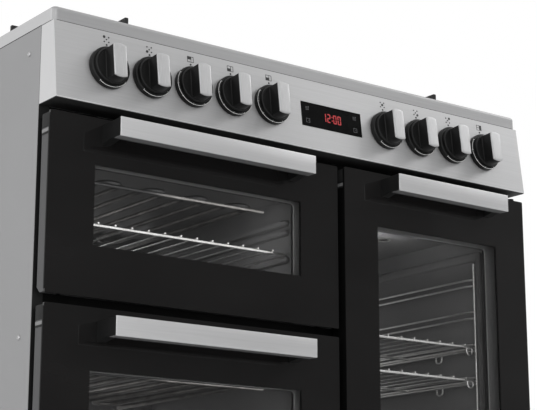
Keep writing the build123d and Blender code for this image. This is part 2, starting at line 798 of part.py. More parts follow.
# Doors
def make_door(name, centre, door_width, lower, upper, proud, margins, strip_end, drop, upright_hinge):
    """Glass door: outer pane, pressed frame with its hinge pins, inner pane, handle strip and brackets."""
    door_height = upper - lower
    middle = (lower + upper) / 2
    glass_front = front - proud
    glass_back = glass_front + pane
    side, top, bottom = margins
    window = (door_width - 2 * side, door_height - top - bottom)
    window_middle = lower + bottom + window[1] / 2

    with BuildPart() as outer_glass:
        with BuildSketch(facing(glass_back)):
            with Locations((centre, middle)):
                RectangleRounded(door_width, door_height, pane_corner)
        extrude(amount=pane)
    keep(outer_glass, f"{name}_door_glass")

    frame_depth = door_back - glass_back
    frame_low = lower + frame_inset
    frame_high = upper - frame_inset
    with BuildPart() as frame:
        with BuildSketch(facing(door_back)):
            with Locations((centre, middle)):
                Rectangle(door_width - 2 * frame_inset, door_height - 2 * frame_inset)
        extrude(amount=frame_depth)
        if not upright_hinge:
            chamfer(frame.edges().filter_by(Axis.X).group_by(Axis.Y)[-1].sort_by(Axis.Z)[0], frame_bevel)
        offset(amount=-sheet, openings=frame.faces().sort_by(Axis.Y)[0])
        with BuildSketch(facing(door_back)):
            with Locations((centre, window_middle)):
                Rectangle(*window)
        extrude(amount=sheet, mode=Mode.SUBTRACT)
        if upright_hinge:
            for end, outwards in ((frame_low, -1), (frame_high, 1)):
                with BuildSketch(Plane.XY.offset(end)):
                    with Locations((tall_hinge_x - hinge_block / 2 + tall_hinge_inset - frame_inset,
                                    (glass_back + door_back) / 2)):
                        Rectangle(hinge_block, frame_depth)
                extrude(amount=-outwards * hinge_block)
                with BuildSketch(Plane.XY.offset(end)):
                    with Locations((tall_hinge_x, tall_hinge_y)):
                        Circle(hinge_pin / 2)
                extrude(amount=outwards * (frame_inset + tall_ear_gap + hinge_ear))
        else:
            pin_z = lower + hinge_rise
            slot_front = drop_hinge_y - ear_radius - hinge_play
            slot_top = pin_z + ear_radius + hinge_play
            for x in drop_hinge_places:
                with BuildSketch(Plane.YZ.offset(x - hinge_block / 2)):
                    with Locations(((glass_back + door_back) / 2, frame_low + hinge_block / 2)):
                        Rectangle(frame_depth, hinge_block)
                    bevel = [(door_back, frame_low), (door_back, frame_low + frame_bevel),
                             (door_back - frame_bevel, frame_low)]
                    Polygon(*bevel, align=None, mode=Mode.SUBTRACT)
                extrude(amount=hinge_block)
                with BuildSketch(Plane.YZ.offset(x - hinge_ear / 2 - hinge_play / 2)):
                    with Locations(((slot_front + door_back) / 2, (frame_low + slot_top) / 2)):
                        Rectangle(door_back - slot_front, slot_top - frame_low)
                extrude(amount=hinge_ear + hinge_play, mode=Mode.SUBTRACT)
                with BuildSketch(Plane.YZ.offset(x - hinge_block / 2)):
                    with Locations((drop_hinge_y, pin_z)):
                        Circle(hinge_pin / 2)
                extrude(amount=hinge_block)
    keep(frame, f"{name}_door_frame")

    with BuildPart() as inner_glass:
        with BuildSketch(facing(door_back - sheet)):
            with Locations((centre, window_middle)):
                RectangleRounded(window[0] + 2 * inner_pane_lap, window[1] + 2 * inner_pane_lap, pane_corner)
        extrude(amount=pane)
    keep(inner_glass, f"{name}_door_inner_glass")

    strip_length = door_width - 2 * strip_end
    strip_front = front - handle_reach
    strip_middle = upper - drop - strip_height / 2
    with BuildPart() as strip:
        with BuildSketch(Plane.YZ.offset(centre - strip_length / 2)):
            with Locations((strip_front + strip_depth / 2, strip_middle)):
                Rectangle(strip_depth, strip_height)
        extrude(amount=strip_length)
        fillet(strip.edges().filter_by(Axis.X).group_by(Axis.Y)[0], strip_corner)
        with BuildSketch(Plane.YZ.offset(centre - strip_length / 2)):
            with Locations((strip_front + sheet + strip_depth / 2, strip_middle)):
                Rectangle(strip_depth, strip_height - 2 * sheet)
        extrude(amount=strip_length, mode=Mode.SUBTRACT)
    keep(strip, f"{name}_door_handle")

    bracket_height = strip_height - 2 * sheet - 2 * clearance
    with BuildPart() as brackets:
        for x in (centre - strip_length / 2, centre + strip_length / 2 - bracket_width):
            with BuildSketch(Plane.YZ.offset(x)):
                with BuildLine():
                    Polyline(
                        (strip_front + sheet, strip_middle + bracket_height / 2),
                        (strip_front + sheet, strip_middle - bracket_height / 2),
                        (strip_front + strip_depth, strip_middle - bracket_height / 2),
                        (glass_front, strip_middle - bracket_height / 2 - bracket_foot),
                        (glass_front, strip_middle + bracket_height / 2),
                        close=True,
                    )
                make_face()
            extrude(amount=bracket_width)
    keep(brackets, f"{name}_door_handle_brackets")


make_door(
    "grill", left_centre, left_door_width, grill_bottom, door_top, door_proud,
    (side_margin, top_margin, bottom_margin), strip_inset, strip_drop, upright_hinge=False,
)
make_door(
    "main", left_centre, left_door_width, door_bottom, main_top, door_proud,
    (side_margin, deep_top_margin, bottom_margin), strip_inset, main_strip_drop, upright_hinge=False,
)
make_door(
    "tall", tall_centre, tall_door_width, door_bottom, door_top, tall_door_proud,
    (tall_side_margin, deep_top_margin, bottom_margin), tall_strip_inset, strip_drop, upright_hinge=True,
)
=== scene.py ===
"""Range cooker: finishes, wire work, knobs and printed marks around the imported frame.

Metres. +X is right and -Y the front, seen by the cook, and +Z is up. Places come from the frame's boxes
and from the named sizes below, which are real sizes in millimetres unless they are multiplied by mm.
"""

import math
from itertools import product

import bmesh
import bpy
from mathutils import Matrix, Vector


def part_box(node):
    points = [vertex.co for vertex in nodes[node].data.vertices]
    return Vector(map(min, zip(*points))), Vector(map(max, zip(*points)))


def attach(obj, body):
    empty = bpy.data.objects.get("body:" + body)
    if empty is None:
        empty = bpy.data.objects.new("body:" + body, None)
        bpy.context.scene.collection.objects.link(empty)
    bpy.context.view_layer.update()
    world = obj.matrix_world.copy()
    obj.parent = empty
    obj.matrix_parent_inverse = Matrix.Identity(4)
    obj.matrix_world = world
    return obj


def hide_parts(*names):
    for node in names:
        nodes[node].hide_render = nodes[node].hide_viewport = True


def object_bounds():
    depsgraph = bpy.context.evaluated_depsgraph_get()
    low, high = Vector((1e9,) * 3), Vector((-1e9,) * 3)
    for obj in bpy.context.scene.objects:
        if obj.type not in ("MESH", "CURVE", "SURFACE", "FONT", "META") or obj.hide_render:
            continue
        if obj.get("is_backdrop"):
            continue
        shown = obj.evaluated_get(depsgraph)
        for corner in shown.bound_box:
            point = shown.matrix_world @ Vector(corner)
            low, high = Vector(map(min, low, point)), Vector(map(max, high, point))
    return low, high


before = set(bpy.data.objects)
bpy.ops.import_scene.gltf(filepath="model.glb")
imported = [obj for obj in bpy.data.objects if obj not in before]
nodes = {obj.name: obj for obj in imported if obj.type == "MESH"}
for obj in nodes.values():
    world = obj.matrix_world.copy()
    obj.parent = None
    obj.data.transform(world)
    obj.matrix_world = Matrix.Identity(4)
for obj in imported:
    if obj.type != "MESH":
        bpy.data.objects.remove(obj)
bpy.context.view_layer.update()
scene = bpy.context.scene
mm = 0.001

# Camera, fitted to the edges in the photograph without a lens shift
camera_place = (-1449.96 * mm, -2096.79 * mm, 111.3 * mm)
camera_yaw = 36.9685
camera_pitch = 13.7371
camera_lens = 105.97

# Casing and control panel
half_width = 450.0
sheet_highlight_from = 449.2 * mm  # the cut ends of hob tray and panel lie further out and carry a painted highlight
panel_lean, panel_height = 14.0, 115.0
panel_tilt = math.atan2(panel_lean, panel_height)
panel_middle = Vector((0.0, -283.0 * mm, 820.5 * mm))
panel_fold = 763.6 * mm

# Knobs and printed marks
knob_pitch = 71.3
knob_places = [-366.0 + i * knob_pitch for i in range(5)] + [146.5 + i * knob_pitch for i in range(4)]
gas_knobs = (1, 2, 6, 7, 8)
knob_steps = 96
grip_half_width, grip_radius = 10.5, 25.5
rim_mark_radius, rim_mark_height, rim_mark_line = 30.4, 9.1, 0.75
gas_scale, oven_scale, scale_step = (-128.0, -42.0), (-215.0, -25.0), 38.0  # degrees
print_low, print_high = -0.05, 0.3  # printed marks, off the face that carries them

# Ovens: left, right, floor and ceiling of each cavity, and left, right, low and high of each window
cavity_front, cavity_back = -238.0, 162.0
grill_cavity = (-398.25, 1.75, 540.0, 700.0)
main_cavity = (-398.25, 1.75, 140.0, 430.0)
tall_cavity = (110.5, 400.5, 140.0, 695.0)
windows = {
    "grill": (-378.0, -18.5, 568.0, 682.5),
    "main": (-378.0, -18.5, 184.0, 398.0),
    "tall": (127.0, 384.0, 184.0, 664.0),
}


# Node graphs
def math_method(operation, swapped=False):
    """A method that adds a Math node between a value and another value or a number."""

    def method(value, other=0.0):
        first, second = (other, value) if swapped else (value, other)
        return value.graph.node("ShaderNodeMath", {"operation": operation}, {0: first, 1: second})

    return method


class Value:
    """A socket of a node graph, with arithmetic that adds Math nodes."""

    __add__, __radd__ = math_method("ADD"), math_method("ADD", swapped=True)
    __sub__, __rsub__ = math_method("SUBTRACT"), math_method("SUBTRACT", swapped=True)
    __mul__, __abs__ = math_method("MULTIPLY"), math_method("ABSOLUTE")
    larger, arctan2 = math_method("MAXIMUM"), math_method("ARCTAN2")

    def __init__(self, graph, socket):
        self.graph = graph
        self.socket = socket

    def rise(self, low, high):
        """0 below low, 1 above high and smooth between."""
        ends = {"Value": self, "From Min": low, "From Max": high}
        return self.graph.node("ShaderNodeMapRange", {"interpolation_type": "SMOOTHSTEP"}, ends)


class Graph:
    """A node tree and one method that adds any node to it."""

    def __init__(self, tree):
        self.tree = tree

    def node(self, kind, settings=None, sockets=None, out=0):
        """Add a node and return one of its outputs, or all of them where out is None."""
        made = self.tree.nodes.new(kind)
        for key, value in (settings or {}).items():
            if key == "stops":
                self.set_stops(made.color_ramp, value)
            else:
                setattr(made, key, value)
        for key, value in (sockets or {}).items():
            self.feed(made.inputs[key], value)
        if out is None:
            return [Value(self, socket) for socket in made.outputs]
        return Value(self, made.outputs[out]) if made.outputs else made

    def feed(self, socket, value):
        """Link a value to a socket, or set the socket to a constant."""
        if isinstance(value, Value):
            self.tree.links.new(value.socket, socket)
        elif socket.type == "RGBA":
            socket.default_value = (*value, 1.0)
        else:
            socket.default_value = value

    def split(self, vector):
        """The three parts of a vector."""
        return self.node("ShaderNodeSeparateXYZ", {}, {0: vector}, out=None)

    def seen(self):
        """1 for rays that show the surround to the camera, straight or in metal and glass."""
        kinds = ("Is Camera Ray", "Is Glossy Ray", "Is Transmission Ray")
        straight, mirrored, through = [self.node("ShaderNodeLightPath", out=kind) for kind in kinds]
        return straight.larger(mirrored).larger(through)

    @staticmethod
    def set_stops(ramp, stops):
        for element, (place, shade) in zip(ramp.elements, stops):
            element.position = place
            element.color = (*shade, 1.0)


class Finish(Graph):
    """A procedural material round one Principled shader."""

    def __init__(self, name):
        self.material = bpy.data.materials.new(name)
        self.material.use_nodes = True
        super().__init__(self.material.node_tree)
        self.tree.nodes.clear()
        self.point = self.node("ShaderNodeTexCoord", out="Object")

    def noise(self, scale, detail=2.0, roughness=0.5, stretch=None):
        point = self.point
        if stretch:
            point = self.node("ShaderNodeMapping", {}, {"Vector": point, "Scale": stretch})
        sockets = {"Vector": point, "Scale": scale, "Detail": detail, "Roughness": roughness}
        return self.node("ShaderNodeTexNoise", {}, sockets)

    def shades(self, value, dark, light, low=0.3, high=0.7):
        """A dark colour where the value is low and a light one where it is high."""
        return self.node("ShaderNodeValToRGB", {"stops": ((low, dark), (high, light))}, {0: value})

    def mix(self, share, first, second):
        return self.node("ShaderNodeMix", {"data_type": "RGBA"}, {0: share, 6: first, 7: second}, out=2)

    def bump(self, height, strength, depth):
        return self.node("ShaderNodeBump", {}, {"Height": height, "Strength": strength, "Distance": depth})

    def done(self, **sockets):
        """Close the material with a Principled shader; a name such as base_color means Base Color."""
        names = {"specular": "Specular IOR Level"}
        values = {names.get(key, key.replace("_", " ").title()): value for key, value in sockets.items()}
        shader = self.node("ShaderNodeBsdfPrincipled", {}, values)
        self.node("ShaderNodeOutputMaterial", {}, {"Surface": shader})
        return self.material


def grey(level):
    return (level, level, level * 1.01)


def tints(colour, *shares):
    """A colour times each share."""
    return [tuple(part * share for part in colour) for share in shares]


# Finishes
def brushed_steel(name, level, rough, metal, end_highlight_from=None, shade_below=None):
    """Stainless sheet brushed along X.

    The last two arguments give how far out in X its cut ends start, which carry a painted highlight, and
    the height of a folded lower edge, with a painted highlight along the fold and painted shade under it.
    """
    finish = Finish(name)
    strokes = finish.noise(1.0, 4.0, 0.65, stretch=(5.0, 520.0, 520.0))
    scratches = finish.noise(1.0, 2.0, 0.5, stretch=(22.0, 2600.0, 2600.0))
    cloud = finish.noise(5.0, 2.0)
    grain = strokes * 0.6 + scratches * 0.4
    tone = finish.shades(grain * 0.8 + cloud * 0.2, grey(level * 0.9), grey(level * 1.06))
    roughness = rough + grain * 0.12 + cloud * 0.06 - 0.09
    x, _, z = finish.split(finish.point)
    # Painted highlight: the cut ends lighter
    if end_highlight_from:
        tone = finish.mix(abs(x).rise(end_highlight_from, end_highlight_from + 0.5 * mm), tone, grey(level * 1.4))
    # Painted highlight along the fold, and painted shade below it
    if shade_below:
        lit = z.rise(shade_below, shade_below + 0.6 * mm)
        fold = 1.0 - z.rise(shade_below + 1.4 * mm, shade_below + 2.6 * mm)
        tone = finish.mix(fold * 0.7, tone, grey(level * 1.5))
        tone = finish.mix(lit, grey(0.012), tone)
        roughness = roughness + (1.0 - lit) * 0.25
        metal = lit * metal
    return finish.done(
        base_color=tone, roughness=roughness, metallic=metal, normal=finish.bump(grain, 0.1, 0.15 * mm)
    )


def zinc_sheet(name):
    """Galvanised sheet with its crystal pattern."""
    finish = Finish(name)
    crystals = finish.node("ShaderNodeTexVoronoi", {}, {"Vector": finish.point, "Scale": 150.0}, out=1)
    tone = finish.node("ShaderNodeSeparateColor", {}, {0: crystals})
    streaks = finish.noise(30.0, 4.0)
    return finish.done(
        base_color=finish.shades(tone * 0.7 + streaks * 0.3, grey(0.42), grey(0.54), 0.1, 0.9),
        roughness=0.36 + tone * 0.1,
        metallic=1.0,
        normal=finish.bump(streaks, 0.06, 0.3 * mm),
    )


def oven_enamel(name):
    """Dark fired enamel with a fine pale fleck and a little waviness."""
    finish = Finish(name)
    flecks = finish.noise(1500.0, 1.0).rise(0.66, 0.72)
    cloud = finish.noise(9.0, 3.0)
    base = finish.shades(cloud, (0.1, 0.1, 0.101), (0.135, 0.134, 0.134))
    return finish.done(
        base_color=finish.mix(flecks * 0.3, base, (0.26, 0.26, 0.27)),
        roughness=0.4 + cloud * 0.12,
        coat_weight=0.1,
        coat_roughness=0.3,
        normal=finish.bump(cloud, 0.12, 2.0 * mm),
    )


def layered(name, shades, rough, *layers, bump=None, stops=(0.3, 0.7), edge=None, **more):
    """A finish made of layers of noise, from a dark to a light shade.

    A layer gives scale, detail and its shares in roughness, height and tone, and bump the strength and
    depth of the height. edge gives an axis, a centre on it or None, the two places between which a grey of
    painted shade turns into the finish, counted from the centre where there is one, and that grey's level.
    """
    finish = Finish(name)
    scales, details, roughs, heights, tones = zip(*layers)
    noises = [finish.noise(*noise) for noise in zip(scales, details)]

    def blend(shares):
        first, *others = [noise * share for noise, share in zip(noises, shares) if share]
        return sum(others, first)

    if bump:
        more["normal"] = finish.bump(blend(heights), *bump)
    tone = finish.shades(blend(tones), *shades, *stops)
    # Painted shade: a grey along a band or towards one end
    if edge:
        axis, centre, low, high, level = edge
        place = finish.split(finish.point)[axis]
        if centre is not None:
            place = abs(place - centre * mm)
        tone = finish.mix(place.rise(low * mm, high * mm), grey(level), tone)
    return finish.done(base_color=tone, roughness=rough + blend(roughs), **more)


def painted_sheet(name, colour, rough, shine=0.5, edge=None):
    """Sprayed sheet metal with a fine orange peel and, with edge, a band of painted shade."""
    peel, cloud = (650.0, 2.0, 0.08, 1.0, 0.25), (7.0, 3.0, 0.03, 0.0, 0.75)
    more = {"stops": (0.35, 0.65), "edge": edge, "specular": shine}
    return layered(name, tints(colour, 0.975, 1.02), rough, peel, cloud, bump=(0.12, 0.2 * mm), **more)


def dark_steel(name, lift=1.0, edge=None):
    """Heat darkened steel of the elements and the fan; edge adds painted shade towards one end."""
    haze, grain = (45.0, 4.0, 0.2, 0.0, 1.0), (1100.0, 1.0, 0.0, 1.0, 0.0)
    shades = *tints((0.07, 0.067, 0.065), lift), *tints((0.17, 0.165, 0.16), lift)
    return layered(name, shades, 0.4, haze, grain, bump=(0.08, 0.1 * mm), edge=edge, metallic=1.0)


def black_plastic(name, level, rough, grain_depth=0.12, shine=0.5):
    """Moulded black plastic with a spark-eroded grain."""
    grain, cloud = (2200.0, 2.0, 0.1, 1.0, 0.0), (35.0, 2.0, 0.06, 0.0, 1.0)
    shades = grey(level * 0.8), grey(level * 1.25)
    return layered(name, shades, rough, grain, cloud, bump=(grain_depth, 0.08 * mm), specular=shine)


def satin_silver(name):
    """Satin metal skin of the knob faces, drawn along their length."""
    finish = Finish(name)
    strokes = finish.noise(1.0, 3.0, 0.6, stretch=(1600.0, 60.0, 60.0))
    tone, bump = finish.shades(strokes, grey(0.42), grey(0.5)), finish.bump(strokes, 0.05, 0.1 * mm)
    return finish.done(base_color=tone, roughness=0.42 + strokes * 0.1, metallic=0.7, normal=bump)


def print_ink(name, colour):
    return layered(name, tints(colour, 0.85, 1.1), 0.5, (1800.0, 2.0, 0.1, 0.0, 1.0))


def lit_segment(name, colour, strength):
    """Lit part of a display, a little uneven."""
    finish = Finish(name)
    glow = finish.noise(300.0, 1.0)
    return finish.done(
        base_color=(0.02, 0.002, 0.002),
        roughness=0.4,
        emission_color=finish.shades(glow, *tints(colour, 0.85, 1.0)),
        emission_strength=strength,
    )


def door_glass(name, window, tint):
    """Toughened pane: black printed border, and a tinted window given as left, right, low and high."""
    finish = Finish(name)
    x, _, z = finish.split(finish.point)
    left, right, low, high = window
    off_x = abs(x - (left + right) / 2) - (right - left) / 2
    off_z = abs(z - (low + high) / 2) - (high - low) / 2
    border = off_x.larger(off_z).rise(-1.2 * mm, 0.8 * mm)
    wipes = finish.noise(4.0, 3.0, 0.6, stretch=(1.0, 1.0, 2.5))
    return finish.done(
        base_color=finish.shades(wipes, (0.0075, 0.0072, 0.0072), (0.0105, 0.01, 0.01)),
        roughness=0.02 + wipes * 0.05,
        specular=0.34,
        alpha=tint + border * (1.0 - tint),
    )


def clear_pane(name):
    """Inner glass: nearly clear, with a faint mirror."""
    finish = Finish(name)
    wipes = finish.noise(6.0, 3.0)
    return finish.done(
        base_color=finish.shades(wipes, (0.4, 0.41, 0.41), (0.48, 0.49, 0.49)),
        roughness=0.03 + wipes * 0.05,
        metallic=1.0,
        alpha=0.1 + wipes * 0.04,
    )


# Painted shade: black along the side panels' front edges and on the door frames' sides in the gap between
# the doors
side_front_shade, mullion_shade = (1, -242.5, 0.8, 1.2, 0.004), (0, 57.25, 6.0, 6.4, 0.004)
# Painted shade: darker steel on the left part of each element rail and on the rods' front bends
rail_shade, bend_shade = (0, None, -262.0, -195.0, 0.07), (1, None, -196.0, -176.0, 0.07)
window_tint = 0.24

handle_steel = brushed_steel("handle_steel", 0.54, 0.46, 0.7)
door_paint = painted_sheet("door_grey_paint", (0.1, 0.1, 0.102), 0.4, 0.15, mullion_shade)
# Painted shade: the handles' steel folds drawn as dark grey paint
fold_shade_paint = painted_sheet("handle_fold_paint", (0.14, 0.14, 0.142), 0.45)
zinc = zinc_sheet("galvanised_sheet")
enamel = oven_enamel("oven_enamel")
wire_haze, wire_shades = (60.0, 3.0, 0.16, 0.0, 1.0), ((0.74, 0.73, 0.71), (0.88, 0.88, 0.87))
chrome = layered("chromed_wire", wire_shades, 0.26, wire_haze, metallic=1.0)
hot_steel = dark_steel("heat_darkened_steel")
rail_steel = dark_steel("element_rail_steel", 3.2, rail_shade)
rod_steel = dark_steel("element_rod_steel", 2.0, bend_shade)
grain, haze = (900.0, 3.0, 0.2, 1.0, 0.5), (40.0, 2.0, 0.0, 0.0, 0.5)
alloy_shades, iron_shades = (grey(0.4), grey(0.6)), (grey(0.006), grey(0.02))
alloy = layered("burner_alloy", alloy_shades, 0.38, grain, haze, bump=(0.25, 0.15 * mm), metallic=1.0)
pits, swell = (700.0, 3.0, 0.2, 0.6, 0.5), (120.0, 2.0, 0.0, 0.8, 0.5)
iron_look = {"bump": (0.35, 0.4 * mm), "stops": (0.3, 0.75), "specular": 0.35}
iron = layered("pan_support_iron", iron_shades, 0.5, pits, swell, **iron_look)
knob_plastic = black_plastic("knob_plastic", 0.008, 0.32, 0.12, 0.22)
bracket_plastic = black_plastic("bracket_plastic", 0.006, 0.42, 0.12, 0.3)
frame_enamel = black_plastic("frame_enamel", 0.0035, 0.4, 0.05, 0.1)
cap_plastic = black_plastic("door_cap_plastic", 0.02, 0.5, shine=0.15)
strip_paint = painted_sheet("door_strip_paint", (0.22, 0.22, 0.222), 0.42)
trim_paint = painted_sheet("door_trim_paint", (0.42, 0.42, 0.42), 0.4)
silver = satin_silver("knob_silver")
rubber_grain, rubber_shades = (500.0, 3.0, 0.15, 1.0, 1.0), (grey(0.012), grey(0.03))
black_rubber = layered("black_rubber", rubber_shades, 0.72, rubber_grain, bump=(0.2, 0.2 * mm))
brass_haze, brass_shades = (70.0, 4.0, 0.2, 0.0, 1.0), ((0.42, 0.28, 0.1), (0.62, 0.45, 0.18))
brass = layered("gas_brass", brass_shades, 0.28, brass_haze, metallic=1.0)
nylon_grain, nylon_shades = (900.0, 2.0, 0.15, 1.0, 1.0), ((0.66, 0.65, 0.6), (0.76, 0.75, 0.71))
nylon = layered("switch_nylon", nylon_shades, 0.45, nylon_grain, bump=(0.1, 0.1 * mm))
black_ink = print_ink("black_ink", (0.012, 0.012, 0.012))
white_ink = print_ink("white_ink", (0.75, 0.75, 0.74))
faint_ink = print_ink("faint_ink", (0.06, 0.06, 0.065))
red_light = lit_segment("red_light", (0.48, 0.014, 0.02), 0.85)
inner_pane = clear_pane("inner_pane")


def dress(finish, *names):
    """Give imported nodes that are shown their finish."""
    for name in names:
        mesh = nodes[name].data
        mesh.materials.clear()
        mesh.materials.append(finish)


# Painted highlight on the cut ends of hob tray and panel; painted shade under the panel's fold
dress(brushed_steel("satin_steel", 0.39, 0.52, 0.7, sheet_highlight_from), "hob_tray")
dress(brushed_steel("panel_steel", 0.44, 0.44, 0.3, sheet_highlight_from, panel_fold), "control_panel")
dress(painted_sheet("side_grey_paint", (0.3, 0.3, 0.305), 0.42, edge=side_front_shade), "side_panels")
dress(painted_sheet("plinth_grey_paint", (0.35, 0.35, 0.355), 0.42), "plinth_panel")
dress(zinc, "rear_panel", "base_pan")
dress(frame_enamel, "front_frame")
dress(black_rubber, "levelling_feet", "door_seals")
dress(enamel, "grill_oven_liner", "main_oven_liner", "tall_oven_liner")
dress(hot_steel, "fan_motor", "fan_guard", "fan_impeller")
dress(alloy, "burner_cups", "burner_crowns")
dress(black_plastic("burner_cap_enamel", 0.008, 0.4, 0.2, 0.35), "burner_caps")
dress(black_plastic("clock_plastic", 0.003, 0.1, 0.02, 0.06), "clock_module")
dress(brass, "gas_rail")
dress(nylon, "oven_switches")
for door, window in windows.items():
    dress(door_glass(f"{door}_door_pane", [v * mm for v in window], window_tint), f"{door}_door_glass")
    dress(door_paint, f"{door}_door_frame")
    dress(inner_pane, f"{door}_door_inner_glass")
    dress(bracket_plastic, f"{door}_door_handle_brackets")


# Mesh helpers
cast_smooth, rib_smooth, wire_smooth = 40.0, 50.0, 60.0  # degrees that still shade smoothly


def add_object(name, data):
    """A new object in the scene."""
    made = bpy.data.objects.new(name, data)
    scene.collection.objects.link(made)
    return made


def settle(name, mesh, finish, body, stands_for=(), smooth=30.0):
    """Make a mesh a piece of the object, with the nodes that it stands for."""
    mesh.name = name
    mesh.materials.clear()
    mesh.materials.append(finish)
    mesh.shade_smooth()
    mesh.set_sharp_from_angle(angle=math.radians(smooth))
    piece = add_object(name, mesh)
    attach(piece, body)
    if stands_for:
        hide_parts(*stands_for)


def new_mesh(bm):
    """A bmesh as a mesh, and the bmesh set free."""
    mesh = bpy.data.meshes.new("mesh")
    bm.to_mesh(mesh)
    bm.free()
    return mesh


def to_mesh(bm, place=None):
    """Finish a bmesh drawn in millimetres: into metres, moved to its place, normals outwards."""
    bmesh.ops.scale(bm, vec=(mm, mm, mm), verts=bm.verts)
    if place is not None:
        bmesh.ops.transform(bm, matrix=place, verts=bm.verts)
    bmesh.ops.recalc_face_normals(bm, faces=bm.faces)
    return new_mesh(bm)


def box_of(node):
    """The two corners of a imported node, in millimetres."""
    return [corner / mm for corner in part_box(node)]


def bridge(bm, low, high):
    """Faces between two rings of equal count."""
    for i, corner in enumerate(low):
        j = (i + 1) % len(low)
        bm.faces.new((corner, low[j], high[j], high[i]))


def on_circle(radius, angle, centre=(0.0, 0.0)):
    """The point of a circle at an angle in degrees."""
    turn = math.radians(angle)
    return (centre[0] + radius * math.cos(turn), centre[1] + radius * math.sin(turn))


def lathe(bm, profile, steps):
    """Revolve points of radius and height about Z; a radius of 0 closes an end."""
    rings = []
    for radius, height in profile:
        places = [on_circle(radius, 360.0 * i / steps) for i in range(steps if radius else 1)]
        rings.append([bm.verts.new((*place, height)) for place in places])
    for low, high in zip(rings, rings[1:]):
        for i in range(steps):
            j = (i + 1) % steps
            corners = [low[i % len(low)], low[j % len(low)], high[j % len(high)], high[i % len(high)]]
            bm.faces.new(list(dict.fromkeys(corners)))


def stack(bm, outlines):
    """A solid skinned through closed outlines of equal count."""
    rings = [[bm.verts.new(p) for p in outline] for outline in outlines]
    for low, high in zip(rings, rings[1:]):
        bridge(bm, low, high)
    bm.faces.new(list(reversed(rings[0])))
    bm.faces.new(rings[-1])


def quarter(centre, radius, start, steps=5):
    """Points of a quarter turn, for rounding a profile."""
    return [on_circle(radius, start + 90.0 * i / steps, centre) for i in range(steps + 1)]


def round_outline(low, high, radius):
    """Points round a rectangle with rounded corners."""
    left, right = low[0] + radius, high[0] - radius
    bottom, top = low[1] + radius, high[1] - radius
    points = []
    for i, centre in enumerate(((right, top), (left, top), (left, bottom), (right, bottom))):
        points += quarter(centre, radius, 90 * i, steps=4)
    return points


def bar_piece(name, bars, finish, body, stands_for=()):
    """A piece made of boxes, each given by its two corners and the radius that rounds all its edges."""
    bm = bmesh.new()
    for low, high, radius in bars:
        centre = [(a + b) / 2 for a, b in zip(low, high)]
        size = [b - a for a, b in zip(low, high)]
        place = Matrix.Translation(centre) @ Matrix.Diagonal((*size, 1.0))
        made = bmesh.ops.create_cube(bm, size=1.0, matrix=place)
        edges = list({edge for vert in made["verts"] for edge in vert.link_edges})
        bmesh.ops.bevel(bm, geom=edges, offset=radius, segments=3, affect="EDGES", profile=0.5)
    settle(name, to_mesh(bm), finish, body, stands_for)


# Geometry Nodes trees
def new_tree(name, inputs):
    """A Geometry Nodes tree with a geometry in and out and the inputs given, and its inputs by name."""
    tree = bpy.data.node_groups.new(name, "GeometryNodeTree")
    for label, kind in {"Geometry": "Geometry", **inputs}.items():
        tree.interface.new_socket(label, in_out="INPUT", socket_type=f"NodeSocket{kind}")
    tree.interface.new_socket("Geometry", in_out="OUTPUT", socket_type="NodeSocketGeometry")
    graph = Graph(tree)
    return graph, {value.socket.name: value for value in graph.node("NodeGroupInput", out=None)}


def close_tree(graph, geometry, finish):
    """End a tree with real geometry and its finish."""
    real = graph.node("GeometryNodeRealizeInstances", {}, {0: geometry})
    painted = graph.node("GeometryNodeSetMaterial", {}, {"Geometry": real, "Material": finish})
    graph.node("NodeGroupOutput", {}, {0: painted})
    return graph.tree


def bent_wire_tree():
    """Edges become wires: bends rounded, then a round section swept along them."""
    inputs = {"Diameter": "Float", "Bend radius": "Float", "Sides": "Int", "Finish": "Material"}
    graph, given = new_tree("bent_wire", inputs)
    line = graph.node("GeometryNodeMeshToCurve", {}, {"Mesh": given["Geometry"]})
    bends = {"Curve": line, "Count": 6, "Radius": given["Bend radius"], "Limit Radius": True}
    line = graph.node("GeometryNodeFilletCurve", {"mode": "POLY"}, bends)
    section = {"Resolution": given["Sides"], "Radius": given["Diameter"] * 0.5}
    ring = graph.node("GeometryNodeCurvePrimitiveCircle", {"mode": "RADIUS"}, section)
    sweep = {"Curve": line, "Profile Curve": ring, "Fill Caps": True}
    return close_tree(graph, graph.node("GeometryNodeCurveToMesh", {}, sweep), given["Finish"])


def fixing_tree():
    """A small part stands on every point, turned to the point's facing attribute."""
    graph, given = new_tree("fixings", {"Part": "Object", "Finish": "Material"})
    part = graph.node("GeometryNodeObjectInfo", {}, {"Object": given["Part"]}, out="Geometry")
    settings = {"data_type": "FLOAT_VECTOR"}
    facing = graph.node("GeometryNodeInputNamedAttribute", settings, {"Name": "facing"})
    turn = graph.node("FunctionNodeAlignRotationToVector", {"axis": "Z"}, {"Vector": facing})
    sockets = {"Points": given["Geometry"], "Instance": part, "Rotation": turn}
    placed = graph.node("GeometryNodeInstanceOnPoints", {}, sockets)
    return close_tree(graph, placed, given["Finish"])


def grow(tree, seed_mesh, inputs):
    """Run a tree on a mesh and return the result as a plain mesh."""
    seed = add_object("seed", seed_mesh)
    modifier = seed.modifiers.new("grow", "NODES")
    modifier.node_group = tree
    sockets = {s.name: s.identifier for s in tree.interface.items_tree if s.in_out == "INPUT"}
    for label, value in inputs.items():
        modifier[sockets[label]] = value
    bpy.context.view_layer.update()
    evaluated = seed.evaluated_get(bpy.context.evaluated_depsgraph_get())
    made = bpy.data.meshes.new_from_object(evaluated)
    seed.modifiers.remove(modifier)
    bpy.data.objects.remove(seed)
    return made


wire_tree = bent_wire_tree()
screw_tree = fixing_tree()


